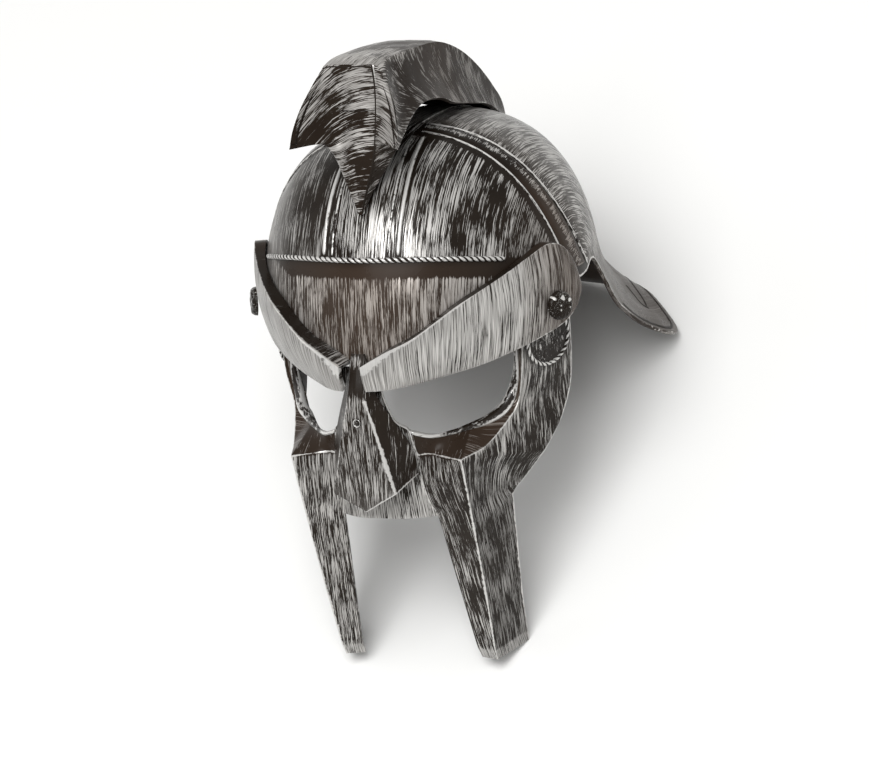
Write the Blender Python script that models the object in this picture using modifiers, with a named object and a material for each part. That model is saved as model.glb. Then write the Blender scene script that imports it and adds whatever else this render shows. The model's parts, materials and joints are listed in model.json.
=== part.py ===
"""Gladiator helmet: a hollow moulded bowl with a crest, brow plates and a faceted face mask.

Every piece is modelled upright, as the helmet is worn: +Z up, the face towards -Y, the
wearer's left at +X, and the origin between the wearer's eyes. At the end the whole helmet is
leant back about X until it stands by itself on its two cheek guards and the rear edge of its
neck guard, centred over the world origin with the floor at z = 0. Lengths are in metres.
"""
import math

import bmesh
import bpy
import numpy as np
from mathutils import Matrix, Vector

WALL = 0.0022                 # moulded plastic
GAP = 0.0004                  # between one piece and the next
MERGE = 0.00005               # points closer than this are one

DOME_HALF_WIDTH = 0.0827
DOME_FRONT = 0.096            # from the dome's axis to the forehead
DOME_BACK = 0.105             # from the dome's axis to the back of the head
DOME_AXIS_Y = 0.0616
DOME_BASE_Z = 0.0238
DOME_HEIGHT = 0.1097
DOME_POWER = 2.65             # 2 is a plain ellipsoid, and more is squarer

ROPE_RADIUS = 0.0012
ROPE_HALF_SPAN = 0.0625
ROPE_CENTRE_Z = 0.0782
ROPE_END_DROP = 0.0058

ROPE_STEPS = 40

STUD_RADIUS = 0.0073
STUD_HEIGHT = 0.0030
STUD_LIFT = 0.0012            # its flat back clears the camber of the plate
BOSS_RADIUS = 0.0136
BOSS_THICKNESS = 0.0008
BOSS_RIM_RADIUS = 0.0010
BOSS_STRETCH = 1.40           # how much longer it is from front to rear than it is high
RIVET_RADIUS = 0.0022
RIVET_HEIGHT = 0.0013

SKULL_COLUMNS_APART = 8.0     # degrees between the skull's upright lines
SKULL_DOME_ROWS = 11
SKULL_FLARE_ROWS = 5
FLARE_BEND_OUT = 0.19         # the flare bends after this share of its way out,
FLARE_BEND_UP = 0.45          # and at this share of its drop above the edge

# The skull's lower edge, from the middle of the forehead round to the middle of the back:
# turn in degrees, how far out it lies as a multiple of the dome's own plan, its height, and
# the height above it where the wall leaves the dome's curve and starts to flare.
SKULL_EDGE = [
    # turn,  reach,     z,   drop
    (0.0,    0.998, 0.0280, 0.004),
    (10.0,   0.997, 0.0325, 0.004),
    (20.0,   0.994, 0.0390, 0.004),
    (32.0,   0.986, 0.0500, 0.004),
    (41.0,   0.980, 0.0560, 0.004),
    (50.5,   0.973, 0.0615, 0.004),
    (60.0,   0.967, 0.0658, 0.004),
    (68.0,   0.966, 0.0662, 0.004),
    (75.0,   0.970, 0.0630, 0.004),
    (80.5,   0.978, 0.0570, 0.004),
    (86.0,   0.984, 0.0530, 0.004),
    (92.0,   0.984, 0.0535, 0.004),
    (101.0,  0.982, 0.0570, 0.006),
    (107.5,  1.008, 0.0465, 0.016),
    (111.5,  1.062, 0.0325, 0.030),
    (118.0,  1.130, 0.0215, 0.044),
    (124.0,  1.235, 0.0115, 0.054),
    (135.0,  1.500, 0.0000, 0.064),
    (143.0,  1.440, 0.0155, 0.052),
    (152.0,  1.425, 0.0185, 0.046),
    (160.0,  1.378, 0.0195, 0.042),
    (180.0,  1.350, 0.0205, 0.036),
]

# The crest behind its front, one row for each section from front to back: the height and
# half width of its flat top, and the place of its lower edge at the left.
CREST_SECTIONS = [
    # y,      top_z,  top_half, edge_x, edge_z
    (-0.0080, 0.1750, 0.0146, 0.0250, 0.1450),
    (0.0120,  0.1748, 0.0148, 0.0238, 0.1488),
    (0.0370,  0.1736, 0.0148, 0.0222, 0.1462),
    (0.0600,  0.1709, 0.0147, 0.0205, 0.1395),
    (0.0850,  0.1624, 0.0146, 0.0190, 0.1346),
    (0.1070,  0.1506, 0.0144, 0.0178, 0.1302),
    (0.1260,  0.1370, 0.0140, 0.0166, 0.1222),
    (0.1400,  0.1247, 0.0132, 0.0152, 0.1115),
    (0.1510,  0.1040, 0.0112, 0.0126, 0.0985),
]

# The crest's front, one row for each section from the top corners down to the prow: the
# middle of the front panel, the fold at its side, and the outer edge of the flared cheek.
CREST_FRONT = [
    # mid_y,   mid_z,   fold_x, fold_y, fold_z,  edge_x, edge_y, edge_z
    (-0.0205, 0.1732,  0.0110, -0.0200, 0.1731,  0.0144, -0.0197, 0.1722),
    (-0.0208, 0.1640,  0.0118, -0.0198, 0.1640,  0.0196, -0.0235, 0.1632),
    (-0.0212, 0.1540,  0.0118, -0.0200, 0.1540,  0.0243, -0.0285, 0.1532),
    (-0.0217, 0.1440,  0.0112, -0.0206, 0.1440,  0.0272, -0.0335, 0.1430),
    (-0.0222, 0.1360,  0.0106, -0.0214, 0.1360,  0.0284, -0.0362, 0.1344),
    (-0.0225, 0.1310,  0.0100, -0.0218, 0.1310,  0.0224, -0.0210, 0.1372),
    (-0.0228, 0.1220,  0.0080, -0.0222, 0.1220,  0.0165, -0.0095, 0.1300),
    (-0.0228, 0.1140,  0.0055, -0.0224, 0.1140,  0.0105, -0.0118, 0.1192),
    (-0.0224, 0.1060,  0.0028, -0.0221, 0.1060,  0.0046, -0.0166, 0.1085),
    (-0.0216, 0.0992,  0.0009, -0.0215, 0.0995,  0.0017, -0.0208, 0.1000),
]
CREST_WING_ROWS = 5           # rows of CREST_FRONT whose outer edge joins the side panel

# How the crest's side panel runs from its shoulder to its lower edge.
CREST_SIDE = [
    # out,  down
    (0.06, 0.16),
    (0.20, 0.38),
    (0.48, 0.68),
    (1.00, 1.00),
]
CREST_FLAT_SHARE = 0.65       # of the top's half width, before the shoulder
CREST_FLAT_FALL = 0.0002
CREST_SHOULDER_FALL = 0.0010

# The left brow plate, one row for each section from the nose to its round outer end.
PLATE_SECTIONS = [
    # low_x,   low_y,   low_z,   top_x,   top_y,   top_z
    (0.0060, -0.0460, 0.0170,  0.0056, -0.0498, 0.0300),
    (0.0150, -0.0405, 0.0167,  0.0170, -0.0462, 0.0362),
    (0.0270, -0.0285, 0.0174,  0.0304, -0.0389, 0.0425),
    (0.0400, -0.0170, 0.0197,  0.0477, -0.0266, 0.0548),
    (0.0510, -0.0055, 0.0218,  0.0571, -0.0153, 0.0609),
    (0.0612, 0.0049,  0.0251,  0.0660, -0.0015, 0.0668),
    (0.0694, 0.0155,  0.0283,  0.0730, 0.0114,  0.0722),
    (0.0750, 0.0274,  0.0310,  0.0785, 0.0240,  0.0760),
    (0.0800, 0.0360,  0.0345,  0.0815, 0.0360,  0.0723),
    (0.0834, 0.0435,  0.0400,  0.0838, 0.0440,  0.0630),
    (0.0850, 0.0478,  0.0470,  0.0850, 0.0478,  0.0530),
]
PLATE_CAMBER = 0.0030         # how far the middle of the plate bulges
PLATE_FULL_WIDTH = 0.040      # a narrower stretch of the plate bulges less
PLATE_LEDGE_CLEARANCE = 0.0010

# The plate's face between its lower edge and its ledge, and how much of the camber it has.
PLATE_FACE = [
    # across, bulge
    (0.25, 0.75),
    (0.50, 1.00),
    (0.75, 0.75),
]

# The left half of the face mask round the eye, one row for each section from the nose round
# under the eye and up to the temple: the eye's rim, the sharp cheek ridge, and the rear edge.
EYE_SECTIONS = [
    # rim_x,  rim_y,   rim_z,   ridge_x, ridge_y, ridge_z, rear_x, rear_y, rear_z
    (0.0420, -0.0020, -0.0090,  0.0452, -0.0262, -0.0210,  0.0660, 0.0330, -0.0300),
    (0.0470, 0.0056,  -0.0070,  0.0514, -0.0078, -0.0182,  0.0690, 0.0410, -0.0220),
    (0.0520, 0.0110,  -0.0025,  0.0577, 0.0100,  -0.0083,  0.0710, 0.0470, -0.0150),
    (0.0560, 0.0160,  0.0050,   0.0605, 0.0152,  -0.0016,  0.0725, 0.0550, -0.0040),
    (0.0585, 0.0180,  0.0140,   0.0630, 0.0153,  0.0100,   0.0733, 0.0580, 0.0080),
    (0.0595, 0.0182,  0.0260,   0.0642, 0.0154,  0.0220,   0.0738, 0.0580, 0.0200),
    (0.0605, 0.0184,  0.0370,   0.0650, 0.0156,  0.0360,   0.0740, 0.0580, 0.0370),
]
# The same from the nose to the ridge's corner, where a shelf leads from the rim to the ledge.
SHELF_SECTIONS = [
    # rim_x,  rim_y,   rim_z,   ledge_x, ledge_y, ledge_z
    (0.0200, -0.0280, -0.0068,  0.0210, -0.0225, -0.0200),
    (0.0280, -0.0216, -0.0098,  0.0268, -0.0208, -0.0196),
    (0.0360, -0.0110, -0.0100,  0.0362, -0.0236, -0.0203),
    (0.0420, -0.0020, -0.0090,  0.0452, -0.0262, -0.0210),
]
# The nose bridge and lip band: the middle line and the side line, from the top down.
BRIDGE_SECTIONS = [
    # mid_y,   mid_z,   side_x, side_y, side_z
    (-0.0358, 0.0240,  0.0090, -0.0350, 0.0240),
    (-0.0356, 0.0140,  0.0092, -0.0348, 0.0140),
    (-0.0340, -0.0005, 0.0140, -0.0318, -0.0005),
    (-0.0315, -0.0068, 0.0200, -0.0280, -0.0068),
    (-0.0285, -0.0200, 0.0210, -0.0225, -0.0200),
    (-0.0265, -0.0350, 0.0215, -0.0196, -0.0350),
    (-0.0250, -0.0460, 0.0232, -0.0150, -0.0470),
    (-0.0242, -0.0520, 0.0249, -0.0121, -0.0533),
]
BRIDGE_BELLY = 0.22           # how far back the bridge is halfway to its side line
# The cheek guard, from the ledge down to its bevelled end: its inner edge, ridge and rear edge.
GUARD_SECTIONS = [
    # in_x,    in_y,    in_z,    ridge_x, ridge_y, ridge_z, rear_x, rear_y, rear_z
    (0.0210, -0.0225, -0.0200,  0.0452, -0.0262, -0.0210,  0.0660, 0.0330, -0.0300),
    (0.0215, -0.0196, -0.0350,  0.0450, -0.0218, -0.0350,  0.0605, 0.0200, -0.0395),
    (0.0232, -0.0150, -0.0470,  0.0447, -0.0179, -0.0470,  0.0565, 0.0113, -0.0460),
    (0.0249, -0.0121, -0.0533,  0.0445, -0.0158, -0.0533,  0.0560, 0.0115, -0.0520),
    (0.0272, -0.0037, -0.0800,  0.0437, -0.0070, -0.0800,  0.0542, 0.0174, -0.0775),
    (0.0289, 0.0025,  -0.1000,  0.0429, -0.0004, -0.1000,  0.0524, 0.0231, -0.0990),
    (0.0312, 0.0110,  -0.1270,  0.0415, 0.0086,  -0.1270,  0.0507, 0.0305, -0.1225),
    (0.0317, 0.0150,  -0.1330,  0.0411, 0.0122,  -0.1333,  0.0500, 0.0335, -0.1285),
]
# The nose guard, from its top between the brow plates down to its pointed lower edge.
NOSE_SECTIONS = [
    # mid_y,   mid_z,   edge_x, edge_y,  edge_z,  root_x, root_y, root_z
    (-0.0386, 0.0340,  0.0033, -0.0384, 0.0340,  0.0035, -0.0370, 0.0340),
    (-0.0446, 0.0160,  0.0039, -0.0442, 0.0160,  0.0080, -0.0392, 0.0160),
    (-0.0448, -0.0020, 0.0078, -0.0441, 0.0000,  0.0146, -0.0344, 0.0000),
    (-0.0440, -0.0190, 0.0115, -0.0436, -0.0150, 0.0208, -0.0276, -0.0150),
    (-0.0416, -0.0443, 0.0164, -0.0425, -0.0350, 0.0213, -0.0240, -0.0290),
]
NOSE_UNDERSIDE_Y = -0.0275    # where the underside meets the lip band, at the middle
NOSE_UNDERSIDE_Z = -0.0440
RIVET_Z = 0.0012

STUD_CENTRE = (0.0802, 0.0270, 0.0448)
STUD_FACING = (0.86, -0.50, 0.03)
STUD_SEGMENTS = 20
BOSS_CENTRE = (0.0695, 0.0353, 0.0262)
BOSS_SEGMENTS = 28
RIVET_SEGMENTS = 16

# The outlines of the turned pieces, as shares of their radius and height.
STUD_OUTLINE = [
    # out,  up
    (1.00, 0.00),
    (1.00, 0.35),
    (0.80, 0.78),
    (0.45, 1.00),
]
RIVET_OUTLINE = [
    # out,  up
    (1.00, 0.00),
    (1.00, 0.30),
    (0.75, 0.80),
    (0.35, 1.00),
]

PLASTIC = {"color": (0.024, 0.020, 0.017), "metallic": 0.0, "roughness": 0.38}
SILVERED = {"color": (0.33, 0.32, 0.31), "metallic": 0.55, "roughness": 0.42}


# ---------------------------------------------------------------- scene and materials

def clear_scene():
    """Remove every object, so that the script gives the same result each time it runs."""
    for old in list(bpy.data.objects):
        bpy.data.objects.remove(old, do_unlink=True)


def new_collection(name):
    """A collection for the helmet's pieces, linked to the scene."""
    group = bpy.data.collections.new(name)
    bpy.context.scene.collection.children.link(group)
    return group


def new_material(name, look):
    """A Principled material with one colour, metallic value and roughness."""
    material = bpy.data.materials.new(name)
    material.use_nodes = True
    shader = material.node_tree.nodes["Principled BSDF"]
    shader.inputs["Base Color"].default_value = (*look["color"], 1.0)
    shader.inputs["Metallic"].default_value = look["metallic"]
    shader.inputs["Roughness"].default_value = look["roughness"]
    return material


def add_piece(name, mesh, material):
    """Make an object for a mesh, in the helmet's collection and on the helmet's empty."""
    piece = bpy.data.objects.new(name, mesh)
    mesh.materials.append(material)
    HELMET.objects.link(piece)
    piece.parent = STAND
    return piece


# ---------------------------------------------------------------- mesh helpers

def loft_mesh(name, patches):
    """One mesh from several patches. A patch is a list of sections, each a row of points.

    Neighbouring sections have the same number of points and are joined by quads, and points
    that two patches share are welded. Seen from outside, sections run down the page and the
    points of a section run to the left, which turns every face outwards.
    """
    shape = bmesh.new()
    for patch in patches:
        rows = [[shape.verts.new(point) for point in section] for section in patch]
        for upper, lower in zip(rows, rows[1:]):
            for i in range(len(upper) - 1):
                shape.faces.new((upper[i], upper[i + 1], lower[i + 1], lower[i]))
    bmesh.ops.remove_doubles(shape, verts=shape.verts, dist=MERGE)
    bmesh.ops.dissolve_degenerate(shape, edges=shape.edges, dist=MERGE)
    mesh = bpy.data.meshes.new(name)
    shape.to_mesh(mesh)
    shape.free()
    return mesh


def spread(a, b, steps):
    """Points from a to b, both ends included, in equal steps."""
    start, step = np.array(a), (np.array(b) - np.array(a)) / steps
    return [tuple(start + step * i) for i in range(steps + 1)]


def mirror(piece):
    """Mirror a half that is open at the plane x = 0."""
    modifier = piece.modifiers.new("other half", "MIRROR")
    modifier.use_axis[0] = True
    modifier.use_clip = True
    modifier.merge_threshold = MERGE


def thicken(piece, wall=WALL):
    """Give an outer surface its wall, inwards."""
    modifier = piece.modifiers.new("wall", "SOLIDIFY")
    modifier.thickness = wall
    modifier.offset = -1.0
    modifier.use_even_offset = False


def turned_mesh(name, profile, segments):
    """Turn a profile of (radius, height) pairs about Z. It starts and ends on the axis."""
    shape = bmesh.new()
    points = [shape.verts.new((radius, 0.0, height)) for radius, height in profile]
    edges = [shape.edges.new(pair) for pair in zip(points, points[1:])]
    bmesh.ops.spin(shape, geom=points + edges, cent=(0, 0, 0), axis=(0, 0, 1),
                   angle=math.tau, steps=segments, use_merge=True)
    bmesh.ops.remove_doubles(shape, verts=shape.verts, dist=MERGE)
    bmesh.ops.recalc_face_normals(shape, faces=shape.faces)
    mesh = bpy.data.meshes.new(name)
    shape.to_mesh(mesh)
    shape.free()
    mesh.shade_smooth()
    mesh.set_sharp_from_angle(angle=math.radians(40))
    return mesh


def stand_on(piece, centre, normal):
    """Place a turned piece with its base at centre and its axis along normal."""
    piece.location = centre
    piece.rotation_euler = normal.to_track_quat("Z", "Y").to_euler()


# ---------------------------------------------------------------- the dome's formula

def dome_scale(z):
    """How much of its full plan the dome has at a height, from 1 at its base to 0 on top."""
    rise = min(max((z - DOME_BASE_Z) / DOME_HEIGHT, 0.0), 1.0)
    return (1.0 - rise ** DOME_POWER) ** (1.0 / DOME_POWER)


def plan_point(turn, scale, z):
    """A point of the dome's plan, an ellipse that is longer behind than in front."""
    angle = math.radians(turn)
    reach = DOME_FRONT if math.cos(angle) > 0 else DOME_BACK
    x = DOME_HALF_WIDTH * scale * math.sin(angle)
    y = DOME_AXIS_Y - reach * scale * math.cos(angle)
    return (x, y, z)


def plan_ratio(point):
    """How far out a point lies, as a multiple of the dome's own plan at its height."""
    reach = DOME_FRONT if point[1] < DOME_AXIS_Y else DOME_BACK
    across = math.hypot(point[0] / DOME_HALF_WIDTH, (point[1] - DOME_AXIS_Y) / reach)
    return across / dome_scale(point[2])


def beside_dome(point, clearance):
    """The point at the same height that lies straight inwards, a clearance off the dome."""
    ratio = plan_ratio(point)
    out = Vector((point[0], point[1] - DOME_AXIS_Y, 0.0))
    inner = out / ratio + out.normalized() * clearance
    return (inner.x, inner.y + DOME_AXIS_Y, point[2])


def dome_front_point(x, z, clearance):
    """The point on the front of the dome at a width and height, a clearance off it."""
    across = (x / DOME_HALF_WIDTH / dome_scale(z)) ** 2
    y = DOME_AXIS_Y - DOME_FRONT * dome_scale(z) * math.sqrt(1.0 - across)
    out = Vector((x / DOME_HALF_WIDTH ** 2, (y - DOME_AXIS_Y) / DOME_FRONT ** 2, 0.0)).normalized()
    return Vector((x, y, z)) + out * clearance


# ---------------------------------------------------------------- the pieces

def skull_turns():
    """The turns of the skull's upright lines: every row of its edge table, and some between."""
    corners = [row[0] for row in SKULL_EDGE]
    turns = []
    for start, end in zip(corners, corners[1:]):
        steps = math.ceil((end - start) / SKULL_COLUMNS_APART)
        turns += [start + (end - start) * i / steps for i in range(steps)]
    return turns + [corners[-1]]


def skull_line(turn):
    """One upright line of the skull, from the top of the dome to its lower edge."""
    table = np.array(SKULL_EDGE)
    reach, edge_z, drop = (np.interp(turn, table[:, 0], table[:, i]) for i in (1, 2, 3))
    leave_z = edge_z + drop
    rise = max(leave_z - DOME_BASE_Z, 0.0) / DOME_HEIGHT
    leave_angle = math.asin(rise ** (DOME_POWER / 2))
    line = []
    for i in range(SKULL_DOME_ROWS + 1):
        angle = math.pi / 2 + (leave_angle - math.pi / 2) * i / SKULL_DOME_ROWS
        z = DOME_BASE_Z + DOME_HEIGHT * math.sin(angle) ** (2 / DOME_POWER)
        line.append(plan_point(turn, math.cos(angle) ** (2 / DOME_POWER), z))
    leave_scale = dome_scale(leave_z)
    bend_scale = leave_scale + FLARE_BEND_OUT * (reach - leave_scale)
    bend_z = edge_z + FLARE_BEND_UP * drop
    for i in range(1, SKULL_FLARE_ROWS + 1):
        t = i / SKULL_FLARE_ROWS
        parts = ((1 - t) ** 2, 2 * t * (1 - t), t ** 2)
        scale = parts[0] * leave_scale + parts[1] * bend_scale + parts[2] * reach
        z = parts[0] * leave_z + parts[1] * bend_z + parts[2] * edge_z
        line.append(plan_point(turn, scale, z))
    return line


def make_skull(material):
    """The domed bowl and its neck guard: upright lines lofted into half a shell, mirrored."""
    lines = [skull_line(turn) for turn in reversed(skull_turns())]
    sections = [list(row) for row in zip(*lines)]
    skull = add_piece("skull", loft_mesh("skull", [sections]), material)
    mirror(skull)
    thicken(skull)
    skull.data.shade_smooth()
    return skull


def crest_arch(y, top_z, top_half, edge_x, edge_z):
    """One section of the crest: a flat top, a tight shoulder and a side that flares out."""
    arch = [(0.0, y, top_z),
            (CREST_FLAT_SHARE * top_half, y, top_z - CREST_FLAT_FALL),
            (top_half, y, top_z - CREST_SHOULDER_FALL)]
    for out, down in CREST_SIDE:
        arch.append((top_half + out * (edge_x - top_half), y, top_z + down * (edge_z - top_z)))
    return arch


def make_crest(material):
    """The hollow ridge: a front sheet with two cheeks, and an arch that runs to the back."""
    front = []
    for mid_y, mid_z, fold_x, fold_y, fold_z, edge_x, edge_y, edge_z in CREST_FRONT:
        front.append([(edge_x, edge_y, edge_z), (fold_x, fold_y, fold_z), (0.0, mid_y, mid_z)])
    wing, fold, middle = zip(*front)
    first_arch = [middle[0], fold[0], *wing[:CREST_WING_ROWS]]
    arches = [first_arch] + [crest_arch(*row) for row in CREST_SECTIONS]
    crest = add_piece("crest", loft_mesh("crest", [front, arches]), material)
    mirror(crest)
    thicken(crest)
    return crest


def make_rope_moulding(material):
    """The cord moulding across the forehead, a tube that follows the dome."""
    path = []
    for i in range(ROPE_STEPS + 1):
        share = -1.0 + 2.0 * i / ROPE_STEPS
        z = ROPE_CENTRE_Z - ROPE_END_DROP * abs(share) ** 3
        path.append(dome_front_point(share * ROPE_HALF_SPAN, z, ROPE_RADIUS + GAP))
    curve = bpy.data.curves.new("rope_moulding", "CURVE")
    curve.dimensions = "3D"
    curve.bevel_depth = ROPE_RADIUS
    curve.bevel_resolution = 1
    curve.use_fill_caps = True
    spline = curve.splines.new("POLY")
    spline.points.add(ROPE_STEPS)
    for point, place in zip(spline.points, path):
        point.co = (*place, 1.0)
    return add_piece("rope_moulding", curve, material)


def plate_sections():
    """The sections of the left brow plate: the low edge, the camber, and the ledge's root."""
    sections = []
    for low_x, low_y, low_z, top_x, top_y, top_z in PLATE_SECTIONS:
        low = Vector((low_x, low_y, low_z))
        top = Vector((top_x, top_y, top_z))
        middle = (low + top) / 2
        out = Vector((middle.x / DOME_HALF_WIDTH ** 2,
                      (middle.y - DOME_AXIS_Y) / DOME_FRONT ** 2, 0.0)).normalized()
        bulge = out * PLATE_CAMBER * min((top - low).length / PLATE_FULL_WIDTH, 1.0)
        face = [low.lerp(top, across) + bulge * share for across, share in PLATE_FACE]
        root = Vector(beside_dome(top, PLATE_LEDGE_CLEARANCE))
        sections.append([low, *face, top, root])
    return sections


def make_brow_plate(name, side, material):
    """One raised plate: its cambered face and the ledge that leads back to the forehead."""
    sections = []
    for row in plate_sections():
        points = [(side * point.x, point.y, point.z) for point in row]
        sections.append(points[::-1] if side > 0 else points)
    plate = add_piece(name, loft_mesh(name, [sections]), material)
    thicken(plate)
    return plate


def bridge_rows():
    """The nose bridge and lip band, from the side line to the middle line."""
    rows = []
    for mid_y, mid_z, side_x, side_y, side_z in BRIDGE_SECTIONS:
        belly_y = mid_y + BRIDGE_BELLY * (side_y - mid_y)
        belly = (0.5 * side_x, belly_y, 0.5 * (mid_z + side_z))
        rows.append([(side_x, side_y, side_z), belly, (0.0, mid_y, mid_z)])
    return rows


def temple_rows():
    """The side of the mask: rows that follow the eye's rim, the ridge and the rear edge."""
    sections = []
    for row in EYE_SECTIONS:
        rim, ridge, rear = row[0:3], row[3:6], row[6:9]
        sections.append([rim, *spread(ridge, rear, 2)])
    return [list(reversed(row)) for row in zip(*sections)]


def guard_rows():
    """The cheek guard: a flat front face, divided as the ledge above it is, and a flat side."""
    ledge = [row[3:6] for row in SHELF_SECTIONS]
    inner_x, ridge_x = ledge[0][0], ledge[-1][0]
    shares = [(point[0] - inner_x) / (ridge_x - inner_x) for point in ledge]
    rows = []
    for row in GUARD_SECTIONS:
        inner, ridge, rear = np.array(row[0:3]), np.array(row[3:6]), row[6:9]
        face = [tuple(inner + (ridge - inner) * share) for share in shares]
        if not rows:
            face = ledge
        rows.append((face + spread(ridge, rear, 2)[1:])[::-1])
    return rows


def make_face_mask(material):
    """Cheeks, eye rims, nose bridge, lip band and cheek guards in one shell."""
    shelf = [[row[0:3] for row in reversed(SHELF_SECTIONS)],
             [row[3:6] for row in reversed(SHELF_SECTIONS)]]
    patches = [bridge_rows(), shelf, temple_rows(), guard_rows()]
    mask = add_piece("face_mask", loft_mesh("face_mask", patches), material)
    mirror(mask)
    thicken(mask)
    return mask


def make_nose_guard(material):
    """The wedge over the nose: a front face, two deep side walls and an underside."""
    rows = []
    for mid_y, mid_z, edge_x, edge_y, edge_z, root_x, root_y, root_z in NOSE_SECTIONS:
        rows.append([(root_x, root_y, root_z), (edge_x, edge_y, edge_z), (0.0, mid_y, mid_z)])
    root, tip = rows[-1][0], (0.0, NOSE_UNDERSIDE_Y, NOSE_UNDERSIDE_Z)
    underside = [rows[-1], spread(root, tip, 2)]
    guard = add_piece("nose_guard", loft_mesh("nose_guard", [rows, underside]), material)
    mirror(guard)
    thicken(guard)
    return guard


def turned_outline(outline, radius, height):
    """A profile from its outline of shares, closed on the axis at both ends."""
    return [(0.0, 0.0)] + [(out * radius, up * height) for out, up in outline] + [(0.0, height)]


def make_nose_rivet(material):
    """The small domed rivet near the top of the nose guard."""
    profile = turned_outline(RIVET_OUTLINE, RIVET_RADIUS, RIVET_HEIGHT)
    rivet = add_piece("nose_rivet", turned_mesh("nose_rivet", profile, RIVET_SEGMENTS), material)
    above, below = NOSE_SECTIONS[1], NOSE_SECTIONS[2]
    share = (above[1] - RIVET_Z) / (above[1] - below[1])
    face_y = above[0] + (below[0] - above[0]) * share
    stand_on(rivet, Vector((0.0, face_y - GAP, RIVET_Z)), Vector((0.0, -1.0, 0.0)))
    return rivet


def make_stud(name, side, material):
    """A rough round stud on the outer end of a brow plate."""
    profile = turned_outline(STUD_OUTLINE, STUD_RADIUS, STUD_HEIGHT)
    stud = add_piece(name, turned_mesh(name, profile, STUD_SEGMENTS), material)
    facing = Vector((side * STUD_FACING[0], STUD_FACING[1], STUD_FACING[2])).normalized()
    centre = Vector((side * STUD_CENTRE[0], STUD_CENTRE[1], STUD_CENTRE[2]))
    stand_on(stud, centre + facing * STUD_LIFT, facing)
    return stud


def make_temple_boss(name, side, material):
    """A thin oval boss with a raised rim, on the side of the face mask."""
    rim = BOSS_RIM_RADIUS
    profile = [(0.0, 0.0), (BOSS_RADIUS, 0.0)]
    for angle in np.linspace(0.0, math.pi, 5):
        profile.append((BOSS_RADIUS - rim + rim * math.cos(angle),
                        BOSS_THICKNESS + rim * math.sin(angle)))
    profile.append((0.0, BOSS_THICKNESS))
    boss = add_piece(name, turned_mesh(name, profile, BOSS_SEGMENTS), material)
    boss.data.transform(Matrix.Diagonal((BOSS_STRETCH, 1.0, 1.0, 1.0)))
    temple = EYE_SECTIONS[-2]
    along = Vector(temple[6:9]) - Vector(temple[3:6])
    facing = Vector((side * along.y, -along.x, 0.0)).normalized()
    centre = Vector((side * BOSS_CENTRE[0], BOSS_CENTRE[1], BOSS_CENTRE[2]))
    stand_on(boss, centre + facing * GAP, facing)
    return boss


# ---------------------------------------------------------------- how it stands

def outer_points(piece):
    """Every point of a piece's finished mesh, before the helmet is leant back."""
    bpy.context.view_layer.update()
    finished = piece.evaluated_get(bpy.context.evaluated_depsgraph_get())
    mesh = finished.to_mesh()
    points = np.array([piece.matrix_world @ vertex.co for vertex in mesh.vertices])
    finished.to_mesh_clear()
    return points


def lowest(points, lean):
    """The least height among some points when the helmet is leant back."""
    return (points[:, 2] * math.cos(lean) - points[:, 1] * math.sin(lean)).min()


def lean_to_stand(front, back):
    """The lean at which the front and back pieces reach the floor together."""
    low, high = 0.0, math.radians(80)
    for _ in range(60):
        lean = (low + high) / 2
        if lowest(front, lean) < lowest(back, lean):
            low = lean
        else:
            high = lean
    return (low + high) / 2


def stand_up(pieces, mask, skull):
    """Lean the helmet back until it stands, and centre it over the world origin."""
    lean = lean_to_stand(outer_points(mask), outer_points(skull))
    STAND.rotation_euler = (-lean, 0.0, 0.0)
    points = np.concatenate([outer_points(piece) for piece in pieces])
    middle = (points.min(axis=0) + points.max(axis=0)) / 2
    STAND.location = (-middle[0], -middle[1], -points[:, 2].min())
    bpy.context.view_layer.update()
    print("lean in degrees", round(math.degrees(lean), 2), "stand at", tuple(STAND.location))


clear_scene()
HELMET = new_collection("gladiator_helmet")
STAND = bpy.data.objects.new("stand", None)
HELMET.objects.link(STAND)

SILVERED_PLASTIC = new_material("silvered_plastic", SILVERED)
DARK_PLASTIC = new_material("dark_plastic", PLASTIC)

skull_piece = make_skull(SILVERED_PLASTIC)
mask_piece = make_face_mask(SILVERED_PLASTIC)
all_pieces = [skull_piece, mask_piece]
all_pieces.append(make_crest(SILVERED_PLASTIC))
all_pieces.append(make_rope_moulding(SILVERED_PLASTIC))
all_pieces.append(make_nose_guard(SILVERED_PLASTIC))
all_pieces.append(make_nose_rivet(DARK_PLASTIC))
for suffix, way in (("left", 1.0), ("right", -1.0)):
    all_pieces.append(make_brow_plate("brow_plate_" + suffix, way, SILVERED_PLASTIC))
    all_pieces.append(make_stud("stud_" + suffix, way, DARK_PLASTIC))
    all_pieces.append(make_temple_boss("temple_boss_" + suffix, way, DARK_PLASTIC))
stand_up(all_pieces, mask_piece, skull_piece)
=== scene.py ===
# %% [markdown]
# # A gladiator helmet in moulded plastic, dry-brushed with silver
# This kind of helmet is moulded in a dark brown-black plastic and then dry-brushed: a stiff brush
# with almost no silver paint on it is dragged over the surface. The paint catches on ridges and
# leaves streaks on the flats, and the dark plastic stays bare in the corners. Here each piece of
# the helmet is a surface worked out with numpy, and the brushwork is a shader that follows a map
# of "across the stroke" and "along the stroke" that every piece carries.

# %% Load the frame
import json
import math

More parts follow.
